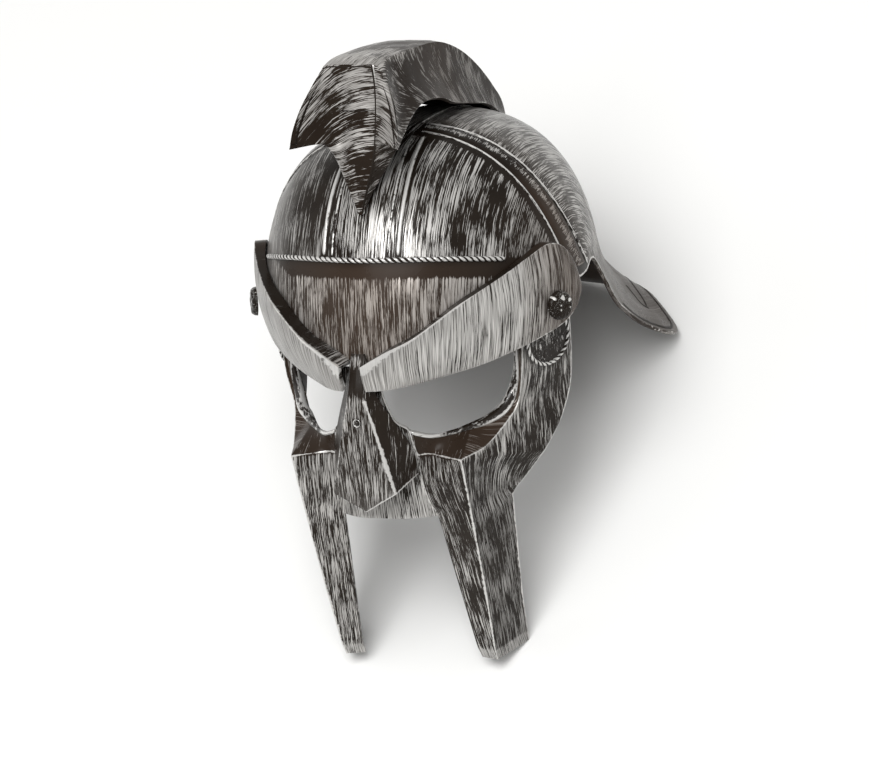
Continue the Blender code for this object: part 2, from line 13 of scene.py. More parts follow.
import bpy
import numpy as np
from mathutils import Matrix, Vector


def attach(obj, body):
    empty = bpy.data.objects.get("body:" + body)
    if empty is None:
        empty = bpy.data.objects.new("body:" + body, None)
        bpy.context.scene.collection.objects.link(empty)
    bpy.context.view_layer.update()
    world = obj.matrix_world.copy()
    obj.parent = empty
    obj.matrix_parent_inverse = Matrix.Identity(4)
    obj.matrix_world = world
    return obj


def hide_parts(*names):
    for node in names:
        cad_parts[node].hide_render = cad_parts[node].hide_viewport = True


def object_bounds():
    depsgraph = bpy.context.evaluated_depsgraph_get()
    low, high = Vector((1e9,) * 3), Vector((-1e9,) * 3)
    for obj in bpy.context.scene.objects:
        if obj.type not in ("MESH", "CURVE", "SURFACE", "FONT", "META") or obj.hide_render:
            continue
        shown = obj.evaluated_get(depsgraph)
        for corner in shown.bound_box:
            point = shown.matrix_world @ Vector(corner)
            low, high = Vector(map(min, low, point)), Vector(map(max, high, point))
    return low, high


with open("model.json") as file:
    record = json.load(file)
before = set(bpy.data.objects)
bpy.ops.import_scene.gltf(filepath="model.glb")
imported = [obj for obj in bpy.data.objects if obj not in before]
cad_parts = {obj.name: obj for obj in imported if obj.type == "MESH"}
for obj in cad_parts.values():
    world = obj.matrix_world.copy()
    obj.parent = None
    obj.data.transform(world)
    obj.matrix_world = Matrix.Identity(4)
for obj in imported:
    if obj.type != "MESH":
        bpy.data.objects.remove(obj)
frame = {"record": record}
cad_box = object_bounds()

print("frame box in mm:", [[round(1000 * value, 1) for value in corner] for corner in cad_box])

# %% [markdown]
# ## Upright and at rest
# A helmet is easiest to describe as it is worn: +Z up, the face towards -Y, and the wearer's left
# at +X. At rest it leans back on its cheek guards and neck guard. One known face, the front of
# the left stud, is written down in both frames: as worn below, and at rest in the record. How far
# its axis has turned about X is the lean, and where its centre went is the rest of the move.

# %% The move from worn to rest
STUD_CENTRE = np.array([0.0802, 0.0270, 0.0448])
STUD_FACING = np.array([0.86, -0.50, 0.03]) / np.linalg.norm([0.86, -0.50, 0.03])
STUD_LIFT = 0.0012
STUD_HEIGHT = 0.0030


def find_mount(name):
    """The record's mount of that name."""
    return next(mount for mount in frame["record"]["mounts"] if mount["name"] == name)


stud_face = find_mount("stud_face_left")
rest_axis = np.array(stud_face["axis"])
rest_centre = np.array(stud_face["pos_m"])
lean = math.atan2(STUD_FACING[2], STUD_FACING[1]) - math.atan2(rest_axis[2], rest_axis[1])
TURN = np.array([[1.0, 0.0, 0.0],
                 [0.0, math.cos(lean), math.sin(lean)],
                 [0.0, -math.sin(lean), math.cos(lean)]])
SHIFT = rest_centre - TURN @ (STUD_CENTRE + STUD_FACING * (STUD_LIFT + STUD_HEIGHT))


def to_rest(points):
    """Points as worn, turned by the lean and shifted to where the helmet rests."""
    return points @ TURN.T + SHIFT


print("lean in degrees:", round(math.degrees(lean), 2), "shift in mm:", np.round(1000 * SHIFT, 2))

# %% [markdown]
# ## Curves through a few rows
# The pieces follow short tables, a row for each section. A smooth curve through the rows gives as
# many sections between them as the surface needs. Hermite cubics are used because they pass
# through every row and need no solving.

# %% Curves


def curve_through(keys, rows, at):
    """A smooth curve through rows that belong to rising keys, read at other keys.

    Between two keys it is the cubic that has the rows' values at both ends, and there the slopes
    that the neighbouring rows suggest.
    """
    keys, rows, at = np.asarray(keys, float), np.asarray(rows, float), np.asarray(at, float)
    slopes = np.gradient(rows, keys, axis=0)
    k = np.clip(np.searchsorted(keys, at, side="right") - 1, 0, len(keys) - 2)
    shape = (-1,) + (1,) * (rows.ndim - 1)
    gap = (keys[k + 1] - keys[k]).reshape(shape)
    t = ((at - keys[k]) / (keys[k + 1] - keys[k])).reshape(shape)
    start = (1 + 2 * t) * (1 - t) ** 2 * rows[k] + t * (1 - t) ** 2 * gap * slopes[k]
    end = t ** 2 * (3 - 2 * t) * rows[k + 1] + t ** 2 * (t - 1) * gap * slopes[k + 1]
    return start + end


def smooth(rows, places):
    """The smooth curve through a table, read at row numbers that may lie between rows."""
    return curve_through(np.arange(len(rows)), rows, places)


def row_places(rows, spacing):
    """Row numbers about one spacing apart along a table of points, every row among them."""
    points = np.asarray(rows, float).reshape(len(rows), -1, 3)
    lengths = np.linalg.norm(np.diff(points, axis=0), axis=2).max(axis=1)
    counts = np.maximum(np.round(lengths / spacing), 1).astype(int)
    steps = [k + np.arange(count) / count for k, count in enumerate(counts)]
    return np.concatenate([*steps, [len(rows) - 1.0]])


print("a curve through 0, 1, 0 halfway along:", smooth([[0.0], [1.0], [0.0]], [0.5]).ravel())

# %% [markdown]
# Across a section the surface is often flat between two lines, so the columns there lie on
# straight lines. The paint needs to know how far a point is from an edge, which is the length of
# the grid's steps added up, and every direction is scaled to length 1 before it is used.

# %% Grids


def straight_across(corners, counts):
    """Columns on the straight lines between corner columns, counts[i] steps in gap i."""
    places = np.concatenate([k + np.arange(count) / count for k, count in enumerate(counts)]
                            + [[float(len(counts))]])
    column = np.minimum(places.astype(int), len(counts) - 1)
    t = (places - column)[None, :, None]
    return corners[:, column] * (1 - t) + corners[:, column + 1] * t


def run(points, axis):
    """How far each point of a grid lies from the grid's first row (0) or column (1)."""
    steps = np.linalg.norm(np.diff(points, axis=axis), axis=2)
    return np.insert(np.cumsum(steps, axis=axis), 0, 0.0, axis=axis)


def unit(vectors):
    """Vectors scaled to length 1."""
    return vectors / np.maximum(np.linalg.norm(vectors, axis=-1, keepdims=True), 1e-12)


print("a 3-4-5 triangle's long side as a unit vector:", unit(np.array([3.0, 4.0])))

# %% [markdown]
# ## From grids to a mesh
# A sheet is a grid of points, its rows running down and its columns running to the right as seen
# from outside, with the brush map and a few fields: how much silver covers it (coverage), how
# much thin silver haze it has (film), how thick its strokes are (strength), how brown it is
# (warm), and how far it is from a worn edge (edge) and from bare plastic (bare), the last two in
# millimetres. Points of two sheets that coincide are made one point, which closes seams and poles.

# %% Sheets
MM = 1000.0
WELD = 1e-5                   # points nearer than this are one point
FAR = 99.0                    # a distance in millimetres that reaches past every effect
CREASE = 32.0                 # degrees: faces that meet more sharply than this keep a hard edge
FIELDS = {"coverage": 0.5, "film": 0.0, "strength": 1.0, "warm": 0.0, "edge": FAR, "bare": FAR}
MIRROR_SHIFT = 371.0          # in millimetres, so that left and right aren't brushed alike


def make_sheet(points, across, along, **fields):
    """A sheet from its grid of points, its brush map in metres, and its fields."""
    size = points.shape[:2]
    sheet = {"points": points}
    sheet["brush"] = np.stack(np.broadcast_arrays(across, along, np.zeros(size))[:2], axis=-1) * MM
    for field, usual in FIELDS.items():
        sheet[field] = np.broadcast_to(fields.get(field, usual), size).astype(float)
    return sheet


def mirrored(sheet):
    """The same sheet on the wearer's right: x negated, the columns run backwards."""
    other = {key: values[:, ::-1] for key, values in sheet.items()}
    other["points"] = other["points"] * (-1.0, 1.0, 1.0)
    other["brush"] = other["brush"] * (-1.0, 1.0) - MIRROR_SHIFT
    return other


print("fields of a sheet and what they are where nothing else is said:", FIELDS)

# %% [markdown]
# The mesh is made in one go. Each square of four neighbouring points is a face, the points are
# rounded to the weld's size so that equal ones are found, and a face that loses a corner by this
# becomes a triangle. The brush map goes in as a UV map, and the fields as attributes.

# %% The mesh


def sheet_mesh(name, sheets, crease=CREASE):
    """One mesh from sheets: four corners a face, coinciding points welded, at rest."""
    corners, start = [], 0
    for sheet in sheets:
        rows, columns = sheet["points"].shape[:2]
        number = start + np.arange(rows * columns).reshape(rows, columns)
        quads = [number[:-1, :-1], number[1:, :-1], number[1:, 1:], number[:-1, 1:]]
        corners.append(np.stack(quads, axis=-1).reshape(-1, 4))
        start += rows * columns
    corners = np.concatenate(corners)
    points = np.concatenate([sheet["points"].reshape(-1, 3) for sheet in sheets])
    steps = np.round(points / WELD).astype(np.int64)
    _, first, welded = np.unique(steps, axis=0, return_index=True, return_inverse=True)
    welded = welded.reshape(-1)[corners]
    keep = welded != np.roll(welded, 1, axis=1)
    keep[keep.sum(axis=1) < 3] = False
    sizes = keep.sum(axis=1)
    sizes = sizes[sizes > 0]
    mesh = bpy.data.meshes.new(name)
    mesh.vertices.add(len(first))
    mesh.vertices.foreach_set("co", to_rest(points[first]).ravel())
    mesh.loops.add(int(keep.sum()))
    mesh.loops.foreach_set("vertex_index", welded[keep].astype(np.int32))
    mesh.polygons.add(len(sizes))
    mesh.polygons.foreach_set("loop_start", np.insert(np.cumsum(sizes)[:-1], 0, 0).astype(np.int32))
    mesh.update(calc_edges=True)
    brush = np.concatenate([sheet["brush"].reshape(-1, 2) for sheet in sheets])
    mesh.uv_layers.new(name="brush").data.foreach_set("uv", brush[corners[keep]].ravel())
    for field in FIELDS:
        values = np.concatenate([sheet[field].ravel() for sheet in sheets])[first]
        mesh.attributes.new(field, "FLOAT", "POINT").data.foreach_set("value", values)
    mesh.validate()
    mesh.shade_smooth()
    mesh.set_sharp_from_angle(angle=math.radians(crease))
    return mesh


# %% [markdown]
# A piece is such a mesh, already in its place at rest. Where it is a shell, Solidify grows the
# wall inwards from the outside, gives it a second finish inside and a third on its rim, and Bevel
# rounds what is sharper than a fold of the surface.

# %% Pieces
ROUND_FROM = 48.0             # degrees


def add_piece(name, sheets, materials, node=None, wall=0.0, rounding=0.0, crease=CREASE):
    """A piece on the helmet's body, with its wall grown inwards and its edges rounded."""
    mesh = sheet_mesh(name, sheets, crease)
    piece = bpy.data.objects.new(name, mesh)
    bpy.context.scene.collection.objects.link(piece)
    for material in materials:
        mesh.materials.append(material)
    if wall:
        shell = piece.modifiers.new("wall", "SOLIDIFY")
        shell.thickness = wall
        shell.offset = -1.0
        shell.material_offset = 1
        shell.material_offset_rim = 2
    if rounding:
        bevel = piece.modifiers.new("soft edges", "BEVEL")
        bevel.width = rounding
        bevel.segments = 2
        bevel.limit_method = "ANGLE"
        bevel.angle_limit = math.radians(ROUND_FROM)
    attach(piece, "root")
    if node:
        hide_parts(node)
    print(name, len(mesh.vertices), "points", len(mesh.polygons), "faces")
    return piece


print("pieces ride on the root body, and edges sharper than", ROUND_FROM, "degrees can be rounded")

# %% [markdown]
# ## The finishes
# Each finish is built from a few shader groups. The first lays paint in strokes: three noises
# are stretched along the brush map, one fine, one broad and one patchy, and a fourth breaks long
# strokes into dabs. The paint is where their sum passes a level that the coverage sets. A fifth
# noise moves the strokes sideways a little, so that they aren't ruled straight.

# %% Node helpers


def node(tree, kind, inputs=(), **settings):
    """A new node. Each input is given a value, or another node's output to wire in."""
    made = tree.nodes.new("ShaderNode" + kind)
    for name, value in settings.items():
        setattr(made, name, value)
    for name, value in dict(inputs).items():
        if isinstance(value, bpy.types.NodeSocket):
            tree.links.new(value, made.inputs[name])
        else:
            made.inputs[name].default_value = value
    return made


def maths(tree, operation, a, b=0.0, c=0.0, clamp=False):
    """One sum on numbers."""
    return node(tree, "Math", {0: a, 1: b, 2: c}, operation=operation, use_clamp=clamp).outputs[0]


def ramp(tree, value, low, high, start=0.0, end=1.0):
    """A smooth step of a value, from start at low to end at high."""
    made = node(tree, "MapRange", {"Value": value, "From Min": low, "From Max": high,
                                   "To Min": start, "To Max": end}, interpolation_type="SMOOTHSTEP")
    return made.outputs["Result"]


def blend_colour(tree, share, a, b):
    """Colour a turning into colour b as share goes from 0 to 1."""
    return node(tree, "Mix", {"Factor": share, 6: a, 7: b}, data_type="RGBA").outputs[2]


def new_group(name, inputs, outputs):
    """An empty group with named inputs (kind, value) and outputs (kind)."""
    group = bpy.data.node_groups.new(name, "ShaderNodeTree")
    for label, (kind, value) in inputs.items():
        socket = group.interface.new_socket(label, in_out="INPUT", socket_type="NodeSocket" + kind)
        if value is not None:
            socket.default_value = value
    for label, kind in outputs.items():
        group.interface.new_socket(label, in_out="OUTPUT", socket_type="NodeSocket" + kind)
    return group, group.nodes.new("NodeGroupInput").outputs, group.nodes.new("NodeGroupOutput").inputs


def plain_noise(tree, place, scale, detail):
    """Noise that has the same grain every way, so many grains to a metre."""
    return node(tree, "TexNoise", {"Vector": place, "Scale": scale, "Detail": detail}).outputs["Fac"]


def stretched_noise(tree, place, across, along, seed, detail=2.0):
    """Noise whose grain is across wide and along long, in the units of place."""
    scale = node(tree, "CombineXYZ", {0: maths(tree, "DIVIDE", 1.0, across),
                                      1: maths(tree, "DIVIDE", 1.0, along), 2: 0.0}).outputs[0]
    scaled = node(tree, "VectorMath", {0: place, 1: scale}, operation="MULTIPLY").outputs[0]
    moved = node(tree, "VectorMath", {0: scaled, 1: (0.0, 0.0, seed)}, operation="ADD").outputs[0]
    made = node(tree, "TexNoise", {"Vector": moved, "Scale": 1.0, "Detail": detail,
                                   "Roughness": 0.55}, noise_dimensions="3D")
    return made.outputs["Fac"]


print("helpers ready for", bpy.app.version_string)

# %% The dry brush
WANDER = 1.1                  # millimetres that a stroke may stray sideways,
WANDER_GRAIN = (9.0, 16.0)    # from one place to another this far off, across and along
PATCH_GRAIN = (8.0, 15.0)
BROAD_GRAIN = (2.6, 1.5)      # these two are multiples of a stroke's width and length
DAB_GRAIN = (0.7, 0.18)
FINE_SHARE = 0.54             # how much of the sum each noise makes
BROAD_SHARE = 0.24
DAB_SHARE = 0.22
BARE_LEVEL = 0.71             # what the sum has to pass where coverage is 0
LEVEL_FALL = 0.42             # and how much less it has to pass where coverage is 1
STROKE_EDGE = (-0.030, 0.034)   # from no paint to full, either side of that level
strokes_group, given, gives = new_group(
    "dry brush",
    {"Brush": ("Vector", None), "Coverage": ("Float", 0.5), "Stroke Width": ("Float", 0.9),
     "Stroke Length": ("Float", 14.0), "Patchiness": ("Float", 0.5)},
    {"Paint": "Float", "Grain": "Float"})
tree = strokes_group
wobble = stretched_noise(tree, given["Brush"], *WANDER_GRAIN, seed=3.1, detail=1.0)
drift = maths(tree, "MULTIPLY", maths(tree, "SUBTRACT", wobble, 0.5), WANDER)
sideways = node(tree, "CombineXYZ", {0: drift}).outputs[0]
drifted = node(tree, "VectorMath", {0: given["Brush"], 1: sideways}, operation="ADD").outputs[0]
stroke = (given["Stroke Width"], given["Stroke Length"])
broad_grain, dab_grain = ([maths(tree, "MULTIPLY", size, times) for size, times in zip(stroke, grain)]
                          for grain in (BROAD_GRAIN, DAB_GRAIN))
fine = stretched_noise(tree, drifted, *stroke, seed=0.0)
broad = stretched_noise(tree, drifted, *broad_grain, seed=7.7)
patch = stretched_noise(tree, drifted, *PATCH_GRAIN, seed=21.3)
dabs = stretched_noise(tree, drifted, *dab_grain, seed=33.9, detail=3.0)
heap = maths(tree, "MULTIPLY", fine, FINE_SHARE)
heap = maths(tree, "MULTIPLY_ADD", broad, BROAD_SHARE, heap)
heap = maths(tree, "MULTIPLY_ADD", dabs, DAB_SHARE, heap)
heap = maths(tree, "MULTIPLY_ADD", maths(tree, "SUBTRACT", patch, 0.5), given["Patchiness"], heap)
level = maths(tree, "MULTIPLY_ADD", given["Coverage"], -LEVEL_FALL, BARE_LEVEL)
over = maths(tree, "SUBTRACT", heap, level)
tree.links.new(ramp(tree, over, *STROKE_EDGE), gives["Paint"])
tree.links.new(fine, gives["Grain"])
print("dry brush group has", len(tree.nodes), "nodes")

# %% [markdown]
# The second group rubs paint onto worn edges. It is full at the edge and breaks up within a
# millimetre or two, so the line it draws is bright but not ruled.

# %% Rubbed edges
RAGGED_SCALE = 520.0          # grains a metre of the noise that breaks the edge up
SLOW_SCALE = 70.0             # and of the one that makes it come and go
FULL_TO = 0.7                 # shares of the reach: paint is full up to here
GONE_FROM = 1.15              # and gone from here on
rub_group, given, gives = new_group(
    "rubbed edge",
    {"Distance": ("Float", FAR), "Place": ("Vector", None), "Reach": ("Float", 1.2)},
    {"Paint": "Float"})
tree = rub_group
ragged = plain_noise(tree, given["Place"], RAGGED_SCALE, 3.0)
slow = plain_noise(tree, given["Place"], SLOW_SCALE, 1.0)
reach = maths(tree, "MULTIPLY", given["Reach"], maths(tree, "MULTIPLY_ADD", ragged, 1.5, 0.1))
reach = maths(tree, "MULTIPLY", reach, maths(tree, "MULTIPLY_ADD", slow, 1.6, 0.25))
share = maths(tree, "DIVIDE", given["Distance"], reach)
tree.links.new(ramp(tree, share, GONE_FROM, FULL_TO), gives["Paint"])
print("rubbed edge group has", len(tree.nodes), "nodes")

# %% [markdown]
# The third group is the plastic itself: near black and a little brown, mottled so that no two
# places are quite alike, with a brown cast where the warm field says so.

# %% The moulded plastic
PLASTIC_DARK = (0.0075, 0.0052, 0.0038, 1)
PLASTIC_LIGHT = (0.020, 0.0150, 0.0110, 1)
PLASTIC_BROWN = (0.040, 0.026, 0.018, 1)
MOTTLE_SCALE = 60.0
plastic_group, given, gives = new_group(
    "moulded plastic",
    {"Place": ("Vector", None), "Warm": ("Float", 0.0)},
    {"Colour": "Color", "Roughness": "Float"})
tree = plastic_group
mottle = plain_noise(tree, given["Place"], MOTTLE_SCALE, 4.0)
black = blend_colour(tree, mottle, PLASTIC_DARK, PLASTIC_LIGHT)
tree.links.new(blend_colour(tree, given["Warm"], black, PLASTIC_BROWN), gives["Colour"])
tree.links.new(ramp(tree, mottle, 0.35, 0.7, 0.24, 0.40), gives["Roughness"])
print("moulded plastic group has", len(tree.nodes), "nodes")

# %% [markdown]
# A silvered finish puts the groups together: plastic below, film over it, then strokes and
# rubbed edges, and nothing where the plastic is bare. The paint is a metal flake in a binder, so
# it is only partly metallic, and it stands a hair proud of the plastic, which a bump shows.

# %% The silver paint
SILVER_THIN = (0.20, 0.193, 0.182, 1)
SILVER_THICK = (0.64, 0.625, 0.605, 1)
SILVER_WARM = (0.29, 0.235, 0.195, 1)
SILVER_RUBBED = (0.70, 0.69, 0.67, 1)


def field(tree, name):
    """The value of one of the piece's fields."""
    return node(tree, "Attribute", attribute_name=name).outputs["Fac"]


def paint_amount(tree, strokes, grain, rubbed):
    """How much paint a place has: the most of its strokes and its film, but none where the
    plastic is bare, or else what is rubbed onto a worn edge."""
    bare_edge = maths(tree, "MULTIPLY_ADD", maths(tree, "SUBTRACT", grain, 0.5), 7.0, field(tree, "bare"))
    painted = ramp(tree, bare_edge, -0.3, 0.5)
    film = maths(tree, "MULTIPLY", field(tree, "film"), maths(tree, "MULTIPLY_ADD", grain, 1.2, 0.4),
                 clamp=True)
    thick = maths(tree, "MULTIPLY", strokes, field(tree, "strength"))
    paint = maths(tree, "MULTIPLY", maths(tree, "MAXIMUM", thick, film), painted)
    return maths(tree, "MAXIMUM", paint, rubbed)


def silver_colour(tree, grain, warm, rubbed):
    """The paint's colour: darker in the stroke's thin grains, warm on warm ground, bright where rubbed."""
    silver = blend_colour(tree, ramp(tree, grain, 0.34, 0.70), SILVER_THIN, SILVER_THICK)
    silver = blend_colour(tree, maths(tree, "MULTIPLY", warm, 0.7), silver, SILVER_WARM)
    return blend_colour(tree, maths(tree, "MULTIPLY", rubbed, 0.8), silver, SILVER_RUBBED)


print("silver from", SILVER_THIN[:3], "to", SILVER_RUBBED[:3])

# %% The silvered finish
PLASTIC_SHINE = 0.11
SILVER_METALLIC = 0.50
COAT_ROUGHNESS = 0.12
PAINT_BUMP = {"Strength": 0.5, "Distance": 0.00010}


def silvered(name, width=0.9, length=14.0, patchiness=0.5, reach=1.2, rough=0.36, coat=0.0,
             shine=PLASTIC_SHINE):
    """Plastic dry-brushed with silver: stroke width, length and edge reach in millimetres."""
    material = bpy.data.materials.new(name)
    material.use_nodes = True
    tree = material.node_tree
    place = node(tree, "TexCoord").outputs["Object"]
    brush = node(tree, "UVMap", uv_map="brush").outputs["UV"]
    warm = field(tree, "warm")
    strokes = node(tree, "Group", {"Brush": brush, "Coverage": field(tree, "coverage"), "Stroke Width": width,
                                   "Stroke Length": length, "Patchiness": patchiness},
                   node_tree=strokes_group).outputs
    rubbed = node(tree, "Group", {"Distance": field(tree, "edge"), "Place": place, "Reach": reach},
                  node_tree=rub_group).outputs["Paint"]
    plastic = node(tree, "Group", {"Place": place, "Warm": warm}, node_tree=plastic_group).outputs
    paint = paint_amount(tree, strokes["Paint"], strokes["Grain"], rubbed)
    silver = silver_colour(tree, strokes["Grain"], warm, rubbed)
    looks = {
        "Base Color": blend_colour(tree, paint, plastic["Colour"], silver),
        "Roughness": node(tree, "Mix", {"Factor": paint, 2: plastic["Roughness"], 3: rough}).outputs[0],
        "Metallic": maths(tree, "MULTIPLY", paint, SILVER_METALLIC),
        "Normal": node(tree, "Bump", {"Height": paint, **PAINT_BUMP}).outputs[0]}
    shader = tree.nodes["Principled BSDF"]
    for socket, value in looks.items():
        tree.links.new(value, shader.inputs[socket])
    shader.inputs["Specular IOR Level"].default_value = shine
    shader.inputs["Coat Weight"].default_value = coat
    shader.inputs["Coat Roughness"].default_value = COAT_ROUGHNESS
    return material


print("specular level of the plastic:", PLASTIC_SHINE)

# %% [markdown]
# Inside, and in incised lines, no paint caught. There the plastic is duller, with a fine grain.

# %% Bare plastic
GRAIN_SCALE = 900.0
GRAIN_BUMP = {"Strength": 0.15, "Distance": 0.0002}


def bare_plastic(name, duller):
    """Unpainted plastic, rougher by that much than under the paint."""
    material = bpy.data.materials.new(name)
    material.use_nodes = True
    tree = material.node_tree
    place = node(tree, "TexCoord").outputs["Object"]
    plastic = node(tree, "Group", {"Place": place}, node_tree=plastic_group).outputs
    grain = plain_noise(tree, place, GRAIN_SCALE, 2.0)
    shader = tree.nodes["Principled BSDF"]
    tree.links.new(plastic["Colour"], shader.inputs["Base Color"])
    tree.links.new(maths(tree, "ADD", plastic["Roughness"], duller), shader.inputs["Roughness"])
    tree.links.new(node(tree, "Bump", {"Height": grain, **GRAIN_BUMP}).outputs[0], shader.inputs["Normal"])
    shader.inputs["Specular IOR Level"].default_value = PLASTIC_SHINE
    return material


print("grain of the bare plastic:", GRAIN_BUMP)

# %% [markdown]
# Each part of the helmet has its own stroke: long fine ones on the bowl and the plates, short
# broad ones on the trim, coarse patchy ones on the crest. Trim that was handled much is glossier.

# %% The finishes of this helmet
INSIDE = bare_plastic("inside_plastic", 0.12)
DOME_FINISH = silvered("dome_silver", width=0.50, length=20.0, patchiness=0.24, rough=0.32)
PLATE_FINISH = silvered("plate_silver", width=0.52, length=26.0, patchiness=0.20)
MASK_FINISH = silvered("mask_silver", width=0.42, length=15.0, patchiness=0.25, reach=1.1)
CREST_FINISH = silvered("crest_silver", width=0.55, length=14.0, patchiness=0.55, shine=0.04)
TRIM_FINISH = silvered("trim_silver", width=0.6, length=5.0, patchiness=0.3, reach=0.7)
GLOSS_FINISH = silvered("glossy_trim", width=0.9, length=5.0, patchiness=0.6, rough=0.22, coat=0.5)
ROUGH_FINISH = silvered("rough_trim", width=0.30, length=0.5, patchiness=0.3, reach=0.4, rough=0.58)
LINE_FINISH = bare_plastic("dark_line", 0.15)
print("finishes:", [material.name for material in bpy.data.materials])

# %% [markdown]
# ## The dome's formula
# The bowl is a squared ellipsoid that is longer behind than in front. Its lines on the real
# helmet run fore and aft in upright planes or over it from side to side, so points on it are
# found in two ways: from a width and a height at its front, and from an angle round the helmet's
# long axis with a distance fore and aft.

# %% The dome
WALL = 0.0022
GAP = 0.0004                  # between a piece and the one it lies on
DOME_HALF_WIDTH = 0.0827
DOME_FRONT = 0.096
DOME_BACK = 0.105
DOME_AXIS_Y = 0.0616
DOME_BASE_Z = 0.0238
DOME_HEIGHT = 0.1097
DOME_POWER = 2.65


def dome_scale(z):
    """How much of its full plan the dome has at a height."""
    rise = np.clip((z - DOME_BASE_Z) / DOME_HEIGHT, 0.0, 1.0)
    return (1.0 - rise ** DOME_POWER) ** (1.0 / DOME_POWER)


def dome_reach(y):
    """The half length of the dome's plan on the side, front or back, where y lies."""
    return np.where(y < DOME_AXIS_Y, DOME_FRONT, DOME_BACK)


def dome_value(points):
    """The dome's formula: 1 on the surface, less inside it and more outside."""
    x, y, z = np.moveaxis(points, -1, 0)
    plan = (x / DOME_HALF_WIDTH) ** 2 + ((y - DOME_AXIS_Y) / dome_reach(y)) ** 2
    rise = np.maximum(z - DOME_BASE_Z, 0.0) / DOME_HEIGHT
    return plan ** (DOME_POWER / 2) + rise ** DOME_POWER


def dome_normal(points):
    """Outward unit vectors: the slope of the dome's formula, taken by small steps."""
    step = 1e-5
    slopes = [dome_value(points + step * axis) - dome_value(points - step * axis) for axis in np.eye(3)]
    return unit(np.stack(slopes, axis=-1))


print("dome top in mm:", round(MM * (DOME_BASE_Z + DOME_HEIGHT), 1))

# %% Points on the dome
DOME_FARTHEST = 0.2           # more than any point's distance from the long axis
HALVINGS = 40


def dome_front_line(x, z):
    """Points on the dome's front at given widths and heights."""
    plan = np.maximum(dome_scale(z) ** 2 - (x / DOME_HALF_WIDTH) ** 2, 0.0)
    return np.stack([x, DOME_AXIS_Y - DOME_FRONT * np.sqrt(plan), z], axis=-1)


def dome_ring(angle, y):
    """Points at angles round the long axis, from the side (0) to the crown (90 degrees), at y.

    The distance from the axis is found by halving an interval until the formula gives 1.
    """
    angle, y = np.broadcast_arrays(np.radians(angle), np.asarray(y, float))
    low, high = np.zeros(angle.shape), np.full(angle.shape, DOME_FARTHEST)
    for _ in range(HALVINGS):
        middle = (low + high) / 2
        points = np.stack([middle * np.cos(angle), y, DOME_BASE_Z + middle * np.sin(angle)], axis=-1)
        inside = dome_value(points) < 1.0
        low, high = np.where(inside, middle, low), np.where(inside, high, middle)
    return points


crown = dome_ring(90.0, DOME_AXIS_Y)
print("crown in mm:", np.round(MM * crown, 1))

# %% [markdown]
# ## The lines on the dome
# Two ribs run up the front from the cord moulding, and a flat band with a rib at each edge runs
# over the dome from side to side just behind them. The painter's brush skips the ground beside
# a rib, so the distance to the nearest rib is a field of the dome.

# %% Where the dome's lines run
RIB_X = 0.0195                # the front rib stands in this upright plane
RIB_LEAN = 0.0030             # and leans in by this much at its top
INNER_RIB_IN = 0.0048         # the thin rib beside it
BAND_TOP_ANGLE = 83.0         # degrees round the long axis, where the band meets the crest
BAND_END_ANGLE = 22.0         # and where it ends above the ear
BAND_FRONT = (0.0300, 0.0120)   # its front edge: y at the top, and how far back it bends
BAND_REAR = (0.0410, 0.0200)
BAND_BEND_FROM = 78.0         # the angle where it starts to bend
BAND_BEND_OVER = 48.0         # and how much further down it has gone back by that much
ROPE_RADIUS = 0.0013
ROPE_HALF_SPAN = 0.0625
ROPE_CENTRE_Z = 0.0782
ROPE_END_DROP = 0.0058


def band_edge(angle, edge):
    """The y of one of the band's edges: constant near the top, then bending back."""
    bend = np.clip((BAND_BEND_FROM - angle) / BAND_BEND_OVER, 0.0, 1.4)
    return edge[0] + edge[1] * bend ** 2


def rope_height(x):
    """The height of the cord moulding's middle at a width."""
    return ROPE_CENTRE_Z - ROPE_END_DROP * (np.abs(x) / ROPE_HALF_SPAN) ** 3


print("cord's middle and end in mm:", np.round(MM * rope_height(np.array([0.0, ROPE_HALF_SPAN])), 1))

# %% [markdown]
# The dome's strokes run fore and aft. A stroke keeps its width x, so the map's first number is the
# distance over the dome from the crown out to x, at the widest section. The second is an angle
# about the cross axis times a mean radius.

# %% The dome's brush map


def girth_table():
    """Widths and the distances over the dome from its crown to them, at its widest section."""
    angle = np.linspace(0.0, math.pi / 2, 400)
    x = DOME_HALF_WIDTH * np.sin(angle) ** (2 / DOME_POWER)
    z = DOME_HEIGHT * np.cos(angle) ** (2 / DOME_POWER)
    return x, np.insert(np.cumsum(np.hypot(np.diff(x), np.diff(z))), 0, 0.0)


GIRTH_X, GIRTH = girth_table()


def fore_and_aft(points):
    """The dome's brush map: strokes keep their width x, and run fore and aft.

    Across is the girth from the crown out to x, and along is a mean radius times the angle
    about the dome's cross axis.
    """
    x, y, z = np.moveaxis(points, -1, 0)
    across = np.sign(x) * np.interp(np.abs(x), GIRTH_X, GIRTH)
    along = DOME_FRONT * np.arctan2(z - DOME_BASE_Z, DOME_AXIS_Y - y)
    return across, along


print("girth to the base in mm:", round(MM * GIRTH[-1], 1))

# %% [markdown]
# ## The skull
# The bowl, its forehead and its flared neck guard are one moulding. It is a closed surface: rows
# run down the outside from the crown, turn round the rim in a half circle, and go back up the
# inside one wall away. The lower edge follows a table by the turn round the head.

